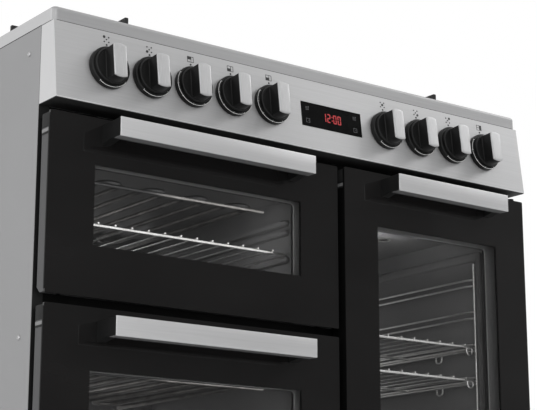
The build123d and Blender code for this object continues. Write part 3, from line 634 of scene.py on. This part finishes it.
def bend_wires(paths, diameter, bend, finish, sides=10):
    """Wires along paths of points in millimetres; a path that ends where it starts is a closed ring."""
    bm = bmesh.new()
    for points in paths:
        closed = points[0] == points[-1]
        verts = [bm.verts.new(Vector(p) * mm) for p in (points[:-1] if closed else points)]
        for a, b in zip(verts, verts[1:] + (verts[:1] if closed else [])):
            bm.edges.new((a, b))
    sizes = {"Diameter": diameter * mm, "Bend radius": bend * mm, "Sides": sides}
    return grow(wire_tree, new_mesh(bm), {**sizes, "Finish": finish})


def wire_piece(name, paths, diameter, bend, finish, node, sides=10):
    """Wires on the body that stand for a node."""
    wires = bend_wires(paths, diameter, bend, finish, sides)
    settle(name, wires, finish, "body", [node], wire_smooth)


# Cast pieces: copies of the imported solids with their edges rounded
cast_round, cast_flat, cast_sharp = 1.4, math.radians(2.0), math.radians(25.0)


def softened(node):
    """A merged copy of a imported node, flat faces joined and its sharp edges rounded."""
    bm = bmesh.new()
    bm.from_mesh(nodes[node].data)
    bmesh.ops.transform(bm, matrix=nodes[node].matrix_world, verts=bm.verts)
    bmesh.ops.remove_doubles(bm, verts=bm.verts, dist=0.01 * mm)
    bmesh.ops.dissolve_limit(bm, angle_limit=cast_flat, verts=bm.verts, edges=bm.edges)
    sharp = [e for e in bm.edges if len(e.link_faces) == 2 and e.calc_face_angle(0.0) > cast_sharp]
    bmesh.ops.bevel(
        bm, geom=sharp, offset=cast_round * mm, segments=3, affect="EDGES", profile=0.5, clamp_overlap=True
    )
    bmesh.ops.recalc_face_normals(bm, faces=bm.faces)
    return new_mesh(bm)


for node in ("pan_support_left", "pan_support_centre", "pan_support_right"):
    settle(f"{node}_cast", softened(node), iron, "body", [node], cast_smooth)


# Knobs
def knob_frame(x):
    """Place of a knob's axis on the slanted panel, with Z towards the cook and Y up the panel."""
    rise, run = math.sin(panel_tilt), math.cos(panel_tilt)
    turn = Matrix(((1, 0, 0), (0, rise, -run), (0, run, rise))).to_4x4()
    return Matrix.Translation(panel_middle + Vector((x * mm, 0, 0))) @ turn


def grip_outline(inset, height, steps=9):
    """Closed outline of the grip bar: straight sides and ends on a circle, drawn in by inset."""
    half, radius = grip_half_width - inset, grip_radius - inset
    reach = math.degrees(math.asin(half / radius))
    top = [90 - reach + 2 * reach * i / steps for i in range(steps + 1)]
    points = [(*on_circle(radius, angle), height) for angle in top]
    return points + [(-x, -y, z) for x, y, z in points]


def knob_body(bm):
    """Flange, collar with a sunk face, and the grip bar that rises from it."""
    profile = [(0, 1.0), (30.4, 1.0), (31.0, 1.6)]
    profile += quarter((28.6, 7.5), 2.4, 0.0)
    profile += [(27.9, 9.9), (27.6, 9.5), (27.2, 9.5), (27.0, 10.0)]
    profile += quarter((25.4, 13.4), 1.6, 0.0)
    profile += [(24.5, 15.0), (23.9, 14.8), (23.5, 14.1), (0, 14.1)]
    lathe(bm, profile, knob_steps)
    foot = [(-1.5, 14.0), (-0.75, 14.3), (-0.25, 15.0), (0.0, 16.4)]
    stack(bm, [grip_outline(inset, height) for inset, height in foot + [(0.35, 32.2), (0.6, 33.1)]])


def knob_cap(bm):
    """Silver face: a thin domed bar with rounded long edges."""
    edge = [(0.5, 33.0), (0.1, 33.2), (0.0, 33.6)]
    turns = [i * math.pi / 12 for i in range(1, 7)]
    edge += [(2.6 * (1 - math.cos(t)), 33.9 + 1.7 * math.sin(t)) for t in turns]
    edge += [(5.0, 35.65), (8.0, 35.7)]
    stack(bm, [grip_outline(inset, height) for inset, height in edge])


def on_rim(angle, radius=rim_mark_radius, height=rim_mark_height):
    return (*on_circle(radius, angle), height)


def rim_marks(number):
    """Fine lines on the rim: an arc, short on gas knobs and long on oven knobs, ticks and a pointer."""
    start, end = gas_scale if number in gas_knobs else oven_scale
    count = int((end - start) / 4)
    paths = [[on_rim(start + (end - start) * i / count) for i in range(count + 1)]]
    ticks = gas_scale if number in gas_knobs else [start + scale_step * i for i in range(6)]
    paths += [[on_rim(tick, 28.9, 10.0), on_rim(tick, 30.9, 8.2)] for tick in ticks]
    paths.append([on_rim(101.0, 24.6, 15.1), on_rim(107.0, 26.0, 15.0)])
    return bend_wires(paths, rim_mark_line, 0.0, white_ink, sides=6)


for number, x in enumerate(knob_places, start=1):
    place = knob_frame(x)
    body = f"knob_{number}"
    bm = bmesh.new()
    knob_body(bm)
    settle(f"knob_grip_{number}", to_mesh(bm, place), knob_plastic, body, [body])
    bm = bmesh.new()
    knob_cap(bm)
    face = f"knob_face_{number}"
    settle(f"knob_cap_{number}", to_mesh(bm, place), silver, body, [face], cast_smooth)
    marks = rim_marks(number)
    marks.transform(place)
    settle(f"knob_marks_{number}", marks, white_ink, body)


# Printed marks on the panel and the clock
def ink_patch(bm, outline, lift):
    """A printed patch with the outline given, as thick as the print."""
    stack(bm, [[(x, y, lift + z) for x, y in outline] for z in (print_low, print_high)])


def ink_bar(bm, low, high, lift=0.0):
    """A printed rectangle between two corners."""
    ink_patch(bm, [(low[0], low[1]), (high[0], low[1]), (high[0], high[1]), (low[0], high[1])], lift)


def ink_dot(bm, x, y, radius, lift=0.0, steps=20):
    ink_patch(bm, [on_circle(radius, 360.0 * i / steps, (x, y)) for i in range(steps)], lift)


def ink_frame(bm, low, high, line, lift=0.0):
    """A printed outline of a rectangle."""
    (left, bottom), (right, top) = low, high
    ink_bar(bm, low, (right, bottom + line), lift)
    ink_bar(bm, (left, top - line), high, lift)
    for x in (left, right - line):
        ink_bar(bm, (x, bottom + line), (x + line, top - line), lift)


def print_piece(name, bm, finish):
    """Printed marks drawn on the panel, from its middle."""
    settle(name, to_mesh(bm, knob_frame(0.0)), finish, "body")


burner_spots = {
    "left_rear": (-1, 1),
    "left_front": (-1, -1),
    "centre": (0, 0),
    "right_front": (1, -1),
    "right_rear": (1, 1),
}
spot_pitch, spot_radius, bold_radius = 3.7, 1.15, 2.1
oven_fills = {
    "grill": ((-4.9, 0.3), (0.7, 3.9)),
    "main": ((-4.9, -3.9), (0.7, -0.3)),
    "tall": ((1.3, -3.9), (4.9, 3.9)),
}


def burner_sign(bm, x, y, chosen):
    """Five dots for the five burners, the chosen one bold."""
    for name, (side, row) in burner_spots.items():
        radius = bold_radius if name == chosen else spot_radius
        ink_dot(bm, x + spot_pitch * side, y + spot_pitch * row, radius)


def oven_sign(bm, x, y, chosen):
    """A cooker front divided into its three ovens, the chosen one filled."""
    ink_frame(bm, (x - 5.5, y - 4.5), (x + 5.5, y + 4.5), 0.6)
    ink_bar(bm, (x + 0.7, y - 3.9), (x + 1.3, y + 3.9))
    ink_bar(bm, (x - 4.9, y - 0.3), (x + 0.7, y + 0.3))
    low, high = oven_fills[chosen]
    ink_bar(bm, (x + low[0], y + low[1]), (x + high[0], y + high[1]))


signs = ["left_rear", "left_front", "grill", "main", "main", "centre", "right_front", "right_rear", "tall"]
sign_height, dot_height, dot_radius = 45.5, 37.0, 1.5
bm = bmesh.new()
for x, sign in zip(knob_places, signs):
    draw = oven_sign if sign in oven_fills else burner_sign
    draw(bm, x, sign_height, sign)
    ink_dot(bm, x, dot_height, dot_radius)
print_piece("panel_signs", bm, black_ink)

clock_face = 0.5
clock_centre = 37.5
digit_width, digit_height, digit_line, digit_gap = 6.6, 14.5, 1.7, 2.2
segments_of = {"1": "bc", "2": "abged", "0": "abcdef"}


def lit_digit(bm, x, digit):
    """A seven-segment figure, its left side at x."""
    half, w, t = digit_height / 2, digit_width, digit_line
    left, right, across = (0, t), (w - t, w), (t * 0.6, w - t * 0.6)
    upper, lower = (t * 0.3, half - t * 0.4), (-half + t * 0.4, -t * 0.3)
    bars = {
        "a": (across, (half - t, half)),
        "b": (right, upper),
        "c": (right, lower),
        "d": (across, (-half, -half + t)),
        "e": (left, lower),
        "f": (left, upper),
        "g": (across, (-t / 2, t / 2)),
    }
    for bar in segments_of[digit]:
        (near, far), (low, high) = bars[bar]
        ink_bar(bm, (x + near, low), (x + far, high), clock_face)


bm = bmesh.new()
digit_step = digit_width + digit_gap
for x, digit in zip((-2 * digit_step - 0.6, -digit_step - 0.6, 2.6, digit_step + 2.6), "1200"):
    lit_digit(bm, clock_centre + x, digit)
for y in (-3.0, 3.0):
    ink_dot(bm, clock_centre + 0.4, y, 1.0, clock_face)
print_piece("clock_digits", bm, red_light)

bm = bmesh.new()
for x in (clock_centre - 48.0, clock_centre + 46.0):
    ink_frame(bm, (x - 3.6, -14.0), (x + 3.6, -7.0), 0.7, clock_face)
    ink_bar(bm, (x - 0.4, -10.8), (x + 2.0, -10.1), clock_face)
    for y, end in ((7.0, 3.2), (9.2, 3.2), (11.4, 0.6)):
        ink_bar(bm, (x - 3.2, y), (x + end, y + 0.8), clock_face)
    ink_dot(bm, x + 2.4, 12.0, 1.1, clock_face)
print_piece("clock_signs", bm, faint_ink)


# Wire shelves
shelf_front, shelf_back = -221.5, 118.5
shelf_rod, shelf_bend, shelf_wire, wire_pitch, wire_sides = 4.5, 9.0, 3.0, 28.0, 8
shelf_gap, rack_reach = 0.3, 4.3
grill_shelf, main_shelf, tall_shelves = 609.5, 255.0, (447.0, 502.0)
stop_width, stop_drop, stop_bend = 14.0, 16.0, 6.0
eye_radius, eye_steps = 6.5, 24


def shelf_paths(left, right, level):
    """Rod frame with a cross rod, and wires laid over it from front to back."""
    half = shelf_rod / 2
    near, far, front, back = left + half, right - half, shelf_front + half, shelf_back - half
    middle, z = (shelf_front + shelf_back) / 2, level + half
    outline = [(near, front, z), (far, front, z), (far, back, z), (near, back, z), (near, front, z)]
    rods = [outline, [(near, middle, z), (far, middle, z)]]
    count = int((right - left - 2 * shelf_rod) / wire_pitch)
    start = (left + right - (count - 1) * wire_pitch) / 2
    top = level + shelf_rod + shelf_wire / 2 - 0.6
    places = [start + i * wire_pitch for i in range(count)]
    return rods, [[(x, shelf_front - 1.0, top), (x, shelf_back + 1.0, top)] for x in places]


def shelf_stops(left, right, level):
    """Hanging stops on the side rods of a tall oven shelf, and the eyes at its front corners."""
    z, half = level + shelf_rod / 2, stop_width / 2
    paths = []
    for x in (left + 1.5, right - 1.5):
        for y in (shelf_front + 92.0, shelf_back - 40.0):
            turns = ((y - half, z), (y - half, z - stop_drop), (y + half, z - stop_drop), (y + half, z))
            paths.append([(x, *turn) for turn in turns])
    for x in (left + 17.0, right - 17.0):
        turns = [on_circle(eye_radius, 360.0 * i / eye_steps, (x, z - 6.0)) for i in range(eye_steps)]
        paths.append([(across, shelf_front + 2.0, up) for across, up in turns + turns[:1]])
    return paths


rods, wires, stops = [], [], []
for (left, right, _, _), gap, levels in (
    (grill_cavity, shelf_gap, [grill_shelf]),
    (main_cavity, shelf_gap, [main_shelf]),
    (tall_cavity, rack_reach, tall_shelves),
):
    for level in levels:
        some_rods, some_wires = shelf_paths(left + gap, right - gap, level)
        rods += some_rods
        wires += some_wires
        if level in tall_shelves:
            stops += shelf_stops(left + gap, right - gap, level)
wire_piece("shelf_frames", rods, shelf_rod, shelf_bend, chrome, "oven_shelves")
wire_piece("shelf_wires", wires, shelf_wire, 0.0, chrome, "oven_shelves", wire_sides)
wire_piece("shelf_stops", stops, shelf_wire, stop_bend, chrome, "oven_shelves", wire_sides)

# Racks on the tall oven's walls: uprights and pairs of runners, whose ends turn out to the uprights
rack_front, rack_back, rack_low, rack_high = -215.5, 110.5, 141.0, 648.0
rack_levels, rack_first, rack_step, runner_gap = 8, 225.0, 55.0, 10.5
rack_wire, runner_wire, runner_bend = 4.0, 3.4, 8.0
runner_reach, runner_inset, runner_end = 8.2, 3.2, 16.0
bars, runners = [], []
for wall, side in ((tall_cavity[0], 1), (tall_cavity[1], -1)):
    upright, outer, inner = [wall + side * off for off in (rack_wire / 2, runner_inset, runner_reach)]
    bars += [[(upright, y, rack_low), (upright, y, rack_high)] for y in (rack_front, rack_back)]
    line = [(outer, rack_front), (inner, rack_front + runner_end)]
    line += [(inner, rack_back - runner_end), (outer, rack_back)]
    for level in range(rack_levels):
        z = rack_first + level * rack_step
        runners += [[(x, y, height) for x, y in line] for height in (z, z + runner_gap)]
wire_piece("rack_uprights", bars, rack_wire, 0.0, chrome, "tall_oven_racks")
wire_piece("rack_runners", runners, runner_wire, runner_bend, chrome, "tall_oven_racks")

# Heating elements under the ceilings of the grill and main ovens
element_rod, element_rail, element_bend = 7.0, 5.0, 18.5
element_legs, element_pitch, element_reach = 8, 38.0, 380.0
element_drop, rail_drop = 22.0, 5.0


def element_paths(cavity):
    """A rod bent back and forth under the ceiling, and the straight rail along its front."""
    left, right, _, ceiling = cavity
    centre, near, z = (left + right) / 2, cavity_back - element_reach, ceiling - element_drop
    points = []
    for leg in range(element_legs):
        x = centre + (leg - (element_legs - 1) / 2) * element_pitch
        far = cavity_back if leg in (0, element_legs - 1) else cavity_back - element_pitch
        points += [(x, y, z) for y in ((near, far) if leg % 2 else (far, near))]
    half = element_legs * element_pitch / 2
    return points, [(centre + end, near, z - rail_drop) for end in (-half, half)]


coils, rails = zip(*[element_paths(cavity) for cavity in (grill_cavity, main_cavity)])
wire_piece("element_rods", coils, element_rod, element_bend, rod_steel, "oven_elements")
wire_piece("element_rails", rails, element_rail, 0.0, rail_steel, "oven_elements")

# Pressings in the oven walls
rib_height, rib_depth, rib_slope = 10.0, 7.4, 3.4
rib_levels = {grill_cavity: (69.5, 112.0, 127.0), main_cavity: (60.0, 115.0, 170.0, 225.0)}
pressing_depth, pressing_slope = 5.0, 5.0
pressings = [  # Y and Z of two corners
    ((cavity_front + 4, 652.0), (cavity_back - 22, 668.0)),
    ((cavity_front + 4, 150.0), (cavity_front + 17, 664.0)),
    ((cavity_back - 38, 150.0), (cavity_back - 22, 664.0)),
]


def pressed_rib(bm, wall, side, low, high, depth, slope):
    """A rib pressed into a side wall: a rounded outline in Y and Z that rises over a rounded slope."""
    corner = min(high[0] - low[0], high[1] - low[1]) / 2 - 0.05
    rings = []
    for turn in (0.0, 0.25, 0.5, 0.75, 1.0):
        inset = slope * (1.0 - math.cos(turn * math.pi / 2))
        sink = depth * math.sin(turn * math.pi / 2) - 0.2
        inner_low, inner_high = [v + inset for v in low], [v - inset for v in high]
        outline = round_outline(inner_low, inner_high, max(corner - inset, 0.4))
        rings.append([(wall + side * sink, y, z) for y, z in outline])
    stack(bm, rings)


bm = bmesh.new()
for cavity, levels in rib_levels.items():
    for wall, side in ((cavity[0], 1), (cavity[1], -1)):
        for level in levels:
            top = cavity[2] + level + 0.4
            low, high = (cavity_front + 16, top - rib_height), (cavity_back - 24, top)
            pressed_rib(bm, wall, side, low, high, rib_depth, rib_slope)
settle("oven_wall_ribs", to_mesh(bm), enamel, "body", smooth=rib_smooth)

bm = bmesh.new()
for wall, side in ((tall_cavity[0], 1), (tall_cavity[1], -1)):
    for low, high in pressings:
        pressed_rib(bm, wall, side, low, high, pressing_depth, pressing_slope)
settle("tall_wall_pressings", to_mesh(bm), enamel, "body", smooth=rib_smooth)

# Handles and the trim of the doors
strip_gauge = 3.0
door_back, pane_recess, pane_gauge = -250.5, 1.5, 4.0
pane_front = door_back - pane_recess - pane_gauge
trim_width, trim_gauge, trim_corner = 30.0, 1.0, 6.0
cap_height, strip_rise, cap_gap = 20.0, 5.0, 2.0
band_proud, band_short = 0.3, 5.0


def handle(door):
    """A steel strip with rounded edges on a dark core, and under it its steel fold in grey paint as
    painted shade.
    """
    body, node = f"{door}_door", f"{door}_door_handle"
    low, high = box_of(node)
    inside = low.y + strip_gauge - 0.4
    strip = (low, (high.x, low.y + strip_gauge, high.z), 0.9)
    core = ((low.x + 0.6, inside, low.z + 0.8), (high.x - 0.6, high.y, high.z - 0.4), 1.2)
    fold = ((low.x + 0.8, inside, low.z + 0.1), (high.x - 0.8, high.y - 6.0, low.z + 1.4), 0.4)
    bar_piece(f"{door}_handle_strip", [strip], handle_steel, body, [node])
    bar_piece(f"{door}_handle_core", [core], bracket_plastic, body, [node])
    bar_piece(f"{door}_handle_fold", [fold], fold_shade_paint, body, [node])


def inner_trim(door, window):
    """The flat ring that holds the inner glass, with a rounded lip towards the window."""
    left, right, low, high = window
    rows = [(trim_width, 0.0), (trim_width, trim_gauge), (3.0, trim_gauge), (1.0, trim_gauge + 0.6)]
    rows += [(0.0, trim_gauge), (0.0, 0.0)]
    bm = bmesh.new()
    rings = []
    for reach, lift in rows:
        corners = (left - reach, low - reach), (right + reach, high + reach)
        outline = round_outline(*corners, trim_corner + reach / 2)
        rings.append([bm.verts.new((x, pane_front - 0.2 - lift, z)) for x, z in outline])
    for near, far in zip(rings, rings[1:] + rings[:1]):
        bridge(bm, near, far)
    settle(f"{door}_inner_trim", to_mesh(bm), trim_paint, f"{door}_door")


def frame_ends(door):
    """Black bands on the glass's side edges as painted shade, and caps and strips at the frame's upper
    ends.
    """
    body = f"{door}_door"
    low, high = box_of(f"{door}_door_frame")
    glass_low, glass_high = box_of(f"{door}_door_glass")
    front, back = glass_high.y + 0.4, door_back - 0.4
    cap_top = glass_high.z - 2.2
    cap_low = cap_top - cap_height
    strip_low = cap_low - cap_gap - strip_rise
    caps, strips, bands = [], [], []
    for near, far in ((low.x - 0.8, low.x + 1.0), (high.x - 1.0, high.x + 0.8)):
        caps.append(((near, front, cap_low), (far, back, cap_top), 0.4))
        strips.append(((near, front, strip_low), (far, back, strip_low + strip_rise), 0.4))
        caps.append(((near, front, strip_low - 2.8), (far, back, strip_low - 0.2), 0.3))
    # Painted shade: black bands on both side edges of the glass
    for x in (glass_low.x, glass_high.x):
        corner = (x - band_proud, glass_low.y + 0.5, glass_low.z + band_short)
        bands.append((corner, (x + band_proud, glass_high.y, glass_high.z - band_short), 0.1))
    bar_piece(f"{door}_edge_bands", bands, frame_enamel, body)
    bar_piece(f"{door}_frame_caps", caps, cap_plastic, body)
    bar_piece(f"{door}_frame_strips", strips, strip_paint, body)


for door in windows:
    handle(door)
for door, window in windows.items():
    inner_trim(door, window)
    frame_ends(door)

# A vent in the tall oven's ceiling: its collar, and a black disc in its mouth as painted shade
vent_place = Matrix.Translation((292.0 * mm, -110.0 * mm, tall_cavity[3] * mm))
vent_steps = 32
collar = [(8.0, 0.4), (12.5, 0.4), (12.5, -1.4), (11.6, -2.2), (10.0, -2.2), (9.2, -1.6), (8.0, 0.4)]
mouth = [(0.0, 0.3), (9.4, 0.3), (9.4, -0.6), (8.6, -0.9), (0.0, -0.7)]
for name, profile, finish, slot in (
    ("vent_collar", collar, chrome, "chrome_wire"),
    ("vent_mouth", mouth, frame_enamel, "oven_enamel"),
):
    bm = bmesh.new()
    lathe(bm, profile, vent_steps)
    settle(name, to_mesh(bm, vent_place), finish, "body")

# Black strips as painted shade in the seams round the hob: one behind the front seam, one along it, and
# one on each side
seam_low, seam_high = 877.9, 879.1
seam_shades = [
    ((-447.0, -273.2, seam_low), (447.0, -262.0, seam_high), 0.2),
    ((-444.0, -274.15, seam_low + 0.5), (444.0, -272.0, seam_high + 0.4), 0.1),
]
for left, right in ((-half_width - 0.15, -half_width + 2.0), (half_width - 2.0, half_width + 0.15)):
    seam_shades.append(((left, -241.0, seam_low + 0.3), (right, 320.0, seam_high + 0.3), 0.1))
bar_piece("panel_gap_strip", seam_shades, black_rubber, "body")

# Screws
screw_steps = 20
screw_profile = [(0, -0.3), (3.4, -0.3), (3.6, 0.4), (3.2, 1.3)]
screw_profile += [(2.2, 1.9), (1.2, 2.1), (0.9, 1.5), (0, 1.4)]


def fix_screws(name, places, finish, body):
    """Pan head screws at places in millimetres, each with the way that its head faces."""
    mesh = bpy.data.meshes.new("places")
    mesh.from_pydata([Vector(p) * mm for p, _ in places], [], [])
    facing = mesh.attributes.new("facing", "FLOAT_VECTOR", "POINT")
    for row, (_, way) in zip(facing.data, places):
        row.vector = way
    bm = bmesh.new()
    lathe(bm, screw_profile, screw_steps)
    screw = add_object("screw", to_mesh(bm))
    made = grow(screw_tree, mesh, {"Part": screw, "Finish": finish})
    bpy.data.objects.remove(screw)
    settle(name, made, finish, body)


rear_plane, rear_edge = 301.0, 425.0
spots = product((-1, 1), (-209.0, 300.0), (120.0, 443.0, 845.0))
side_screws = [((side * half_width, y, z), (side, 0, 0)) for side, y, z in spots]
spots = [*product((-rear_edge, -215.0, 0.0, 215.0, rear_edge), (85.0, 865.0))]
spots += product((-rear_edge, rear_edge), (280.0, 475.0, 670.0))
rear_screws = [((x, rear_plane, z), (0, 1, 0)) for x, z in spots]
fix_screws("side_screws", side_screws, zinc, "body")
fix_screws("rear_screws", rear_screws, zinc, "body")

# Studio: floor, white surround, soft lamps and camera
white = (1.0, 1.0, 1.0)
floor_half, fade_start, fade_end = 14.0, 0.9, 3.0
dark_flag, right_flag, surround_light, rear_light = 0.82, 0.72, 0.56, 0.32


def pale_floor():
    """Pale sheet that keeps the object's shadow and runs out into the white surround."""
    finish = Finish("pale_floor")
    cloud = finish.noise(2.0, 3.0)
    tone = finish.shades(cloud, (0.89, 0.89, 0.89), (0.91, 0.91, 0.91))
    sheet = {"Base Color": tone, "Roughness": 0.8, "Specular IOR Level": 0.1}
    paper = finish.node("ShaderNodeBsdfPrincipled", {}, sheet)
    bright = finish.node("ShaderNodeEmission", {}, {"Color": white, "Strength": 1.0})
    away = finish.node("ShaderNodeVectorMath", {"operation": "LENGTH"}, {0: finish.point}, out="Value")
    share = away.rise(fade_start, fade_end) * finish.seen()
    both = finish.node("ShaderNodeMixShader", {}, {0: share, 1: paper, 2: bright})
    finish.node("ShaderNodeOutputMaterial", {}, {"Surface": both})
    bm = bmesh.new()
    bmesh.ops.create_grid(bm, x_segments=1, y_segments=1, size=floor_half)
    mesh = new_mesh(bm)
    mesh.materials.append(finish.material)
    add_object("floor", mesh)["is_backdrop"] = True


def surround():
    """White to the camera and in metal and glass, with flags where the doors mirror; dimmer as light.

    Flags and rear light lie between turns in degrees from the front towards the right.
    """
    world = bpy.data.worlds.new("surround")
    scene.world = world
    world.use_nodes = True
    world.node_tree.nodes.clear()
    graph = Graph(world.node_tree)
    camera_ray = graph.node("ShaderNodeLightPath", out="Is Camera Ray")
    x, y, z = graph.split(graph.node("ShaderNodeTexCoord", out="Generated"))
    turn = x.arctan2(0.0 - y) * (180.0 / math.pi)
    low = 1.0 - z.rise(0.42, 0.6)
    step = turn.rise(42.7, 43.7)
    dark = turn.rise(10.0, 22.0) * (1.0 - step) * low
    right = step * (1.0 - turn.rise(55.0, 75.0)) * low
    rear = (1.0 - turn.rise(-125.0, -95.0)) * turn.rise(-178.0, -165.0)
    level = surround_light + rear * rear_light
    flagged = 1.0 - (dark * dark_flag + right * right_flag) * (1.0 - camera_ray)
    light = graph.node("ShaderNodeBackground", {}, {"Color": white, "Strength": level})
    shown = graph.node("ShaderNodeBackground", {}, {"Color": white, "Strength": flagged})
    both = graph.node("ShaderNodeMixShader", {}, {0: graph.seen(), 1: light, 2: shown})
    graph.node("ShaderNodeOutputWorld", {}, {"Surface": both})


def soft_lamp(name, place, target, size, power, mirrored=True):
    """A soft box that the camera doesn't see; gloss shows it only where it is mirrored."""
    data = bpy.data.lights.new(name, "AREA")
    data.shape = "RECTANGLE"
    data.size, data.size_y = size
    data.energy = power
    lamp = add_object(name, data)
    lamp.location = place
    lamp.rotation_euler = (Vector(target) - Vector(place)).to_track_quat("-Z", "Y").to_euler()
    lamp.visible_camera = False
    lamp.visible_glossy = mirrored


def oven_lamp(name, place, power):
    """A small round lamp under an oven's ceiling."""
    data = bpy.data.lights.new(name, "POINT")
    data.energy = power
    data.shadow_soft_size = 45.0 * mm
    add_object(name, data).location = Vector(place) * mm


def panel_lamp(name, box, y, target, light):
    """A soft panel across an oven that lights it along Y; box gives its left, right, low and high."""
    left, right, low, high = [v * mm for v in box]
    size = (right - left, high - low)
    place = ((left + right) / 2, y * mm, (low + high) / 2)
    soft_lamp(name, place, (place[0], target, place[2]), size, light * size[0] * size[1])


# Room light through each window, and light from each oven's back wall on its upper half
window_light = {"grill": 2.0, "main": 1.8, "tall": 1.0}
back_light = {"grill": 1.6, "main": 2.0, "tall": 2.2}
upper_front, middle_front = (0.0, -0.28, 0.7), (0.0, -0.28, 0.6)
pale_floor()
surround()
soft_lamp("key_lamp", (3.0, -1.6, 2.9), upper_front, (1.6, 1.2), 28.0)
soft_lamp("fill_lamp", (-3.4, -0.4, 1.7), (-0.4, 0.0, 0.6), (3.4, 3.0), 22.0)
soft_lamp("front_lamp", (-2.0, -3.6, 1.2), middle_front, (2.0, 1.4), 24.0)
soft_lamp("right_lamp", (2.3, -3.0, 2.5), upper_front, (1.6, 1.2), 33.0, mirrored=False)
for door, window in windows.items():
    panel_lamp(f"{door}_window_lamp", window, cavity_front + 2.0, 1.0, window_light[door] * math.pi)
oven_lamp("grill_oven_lamp", (-300.0, 40.0, 650.0), 0.2)
oven_lamp("main_oven_lamp", (-300.0, 40.0, 375.0), 0.2)
tall_ceiling, grill_wall = (0.215, -0.165, 0.695), (0.0, -0.16, 0.62)
soft_lamp("tall_ceiling_lamp", (0.215, -0.175, 0.63), tall_ceiling, (0.08, 0.08), 0.7, mirrored=False)
soft_lamp("grill_wall_lamp", (-0.075, -0.17, 0.62), grill_wall, (0.06, 0.08), 0.06, mirrored=False)
for door, (left, right, floor, ceiling) in zip(windows, (grill_cavity, main_cavity, tall_cavity)):
    low, high = [floor + share * (ceiling - floor) for share in (0.45, 0.95)]
    box = (left + 10.0, right - 10.0, low, high)
    panel_lamp(f"{door}_back_lamp", box, cavity_back - 4.0, -1.0, back_light[door])

lens = bpy.data.cameras.new("camera")
lens.lens = camera_lens
lens.clip_start, lens.clip_end = 0.05, 60.0
camera = add_object("camera", lens)
camera.location = camera_place
camera.rotation_euler = (math.radians(90.0 + camera_pitch), 0.0, -math.radians(camera_yaw))
scene.camera = camera
scene.view_settings.view_transform = "Standard"

low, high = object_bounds()
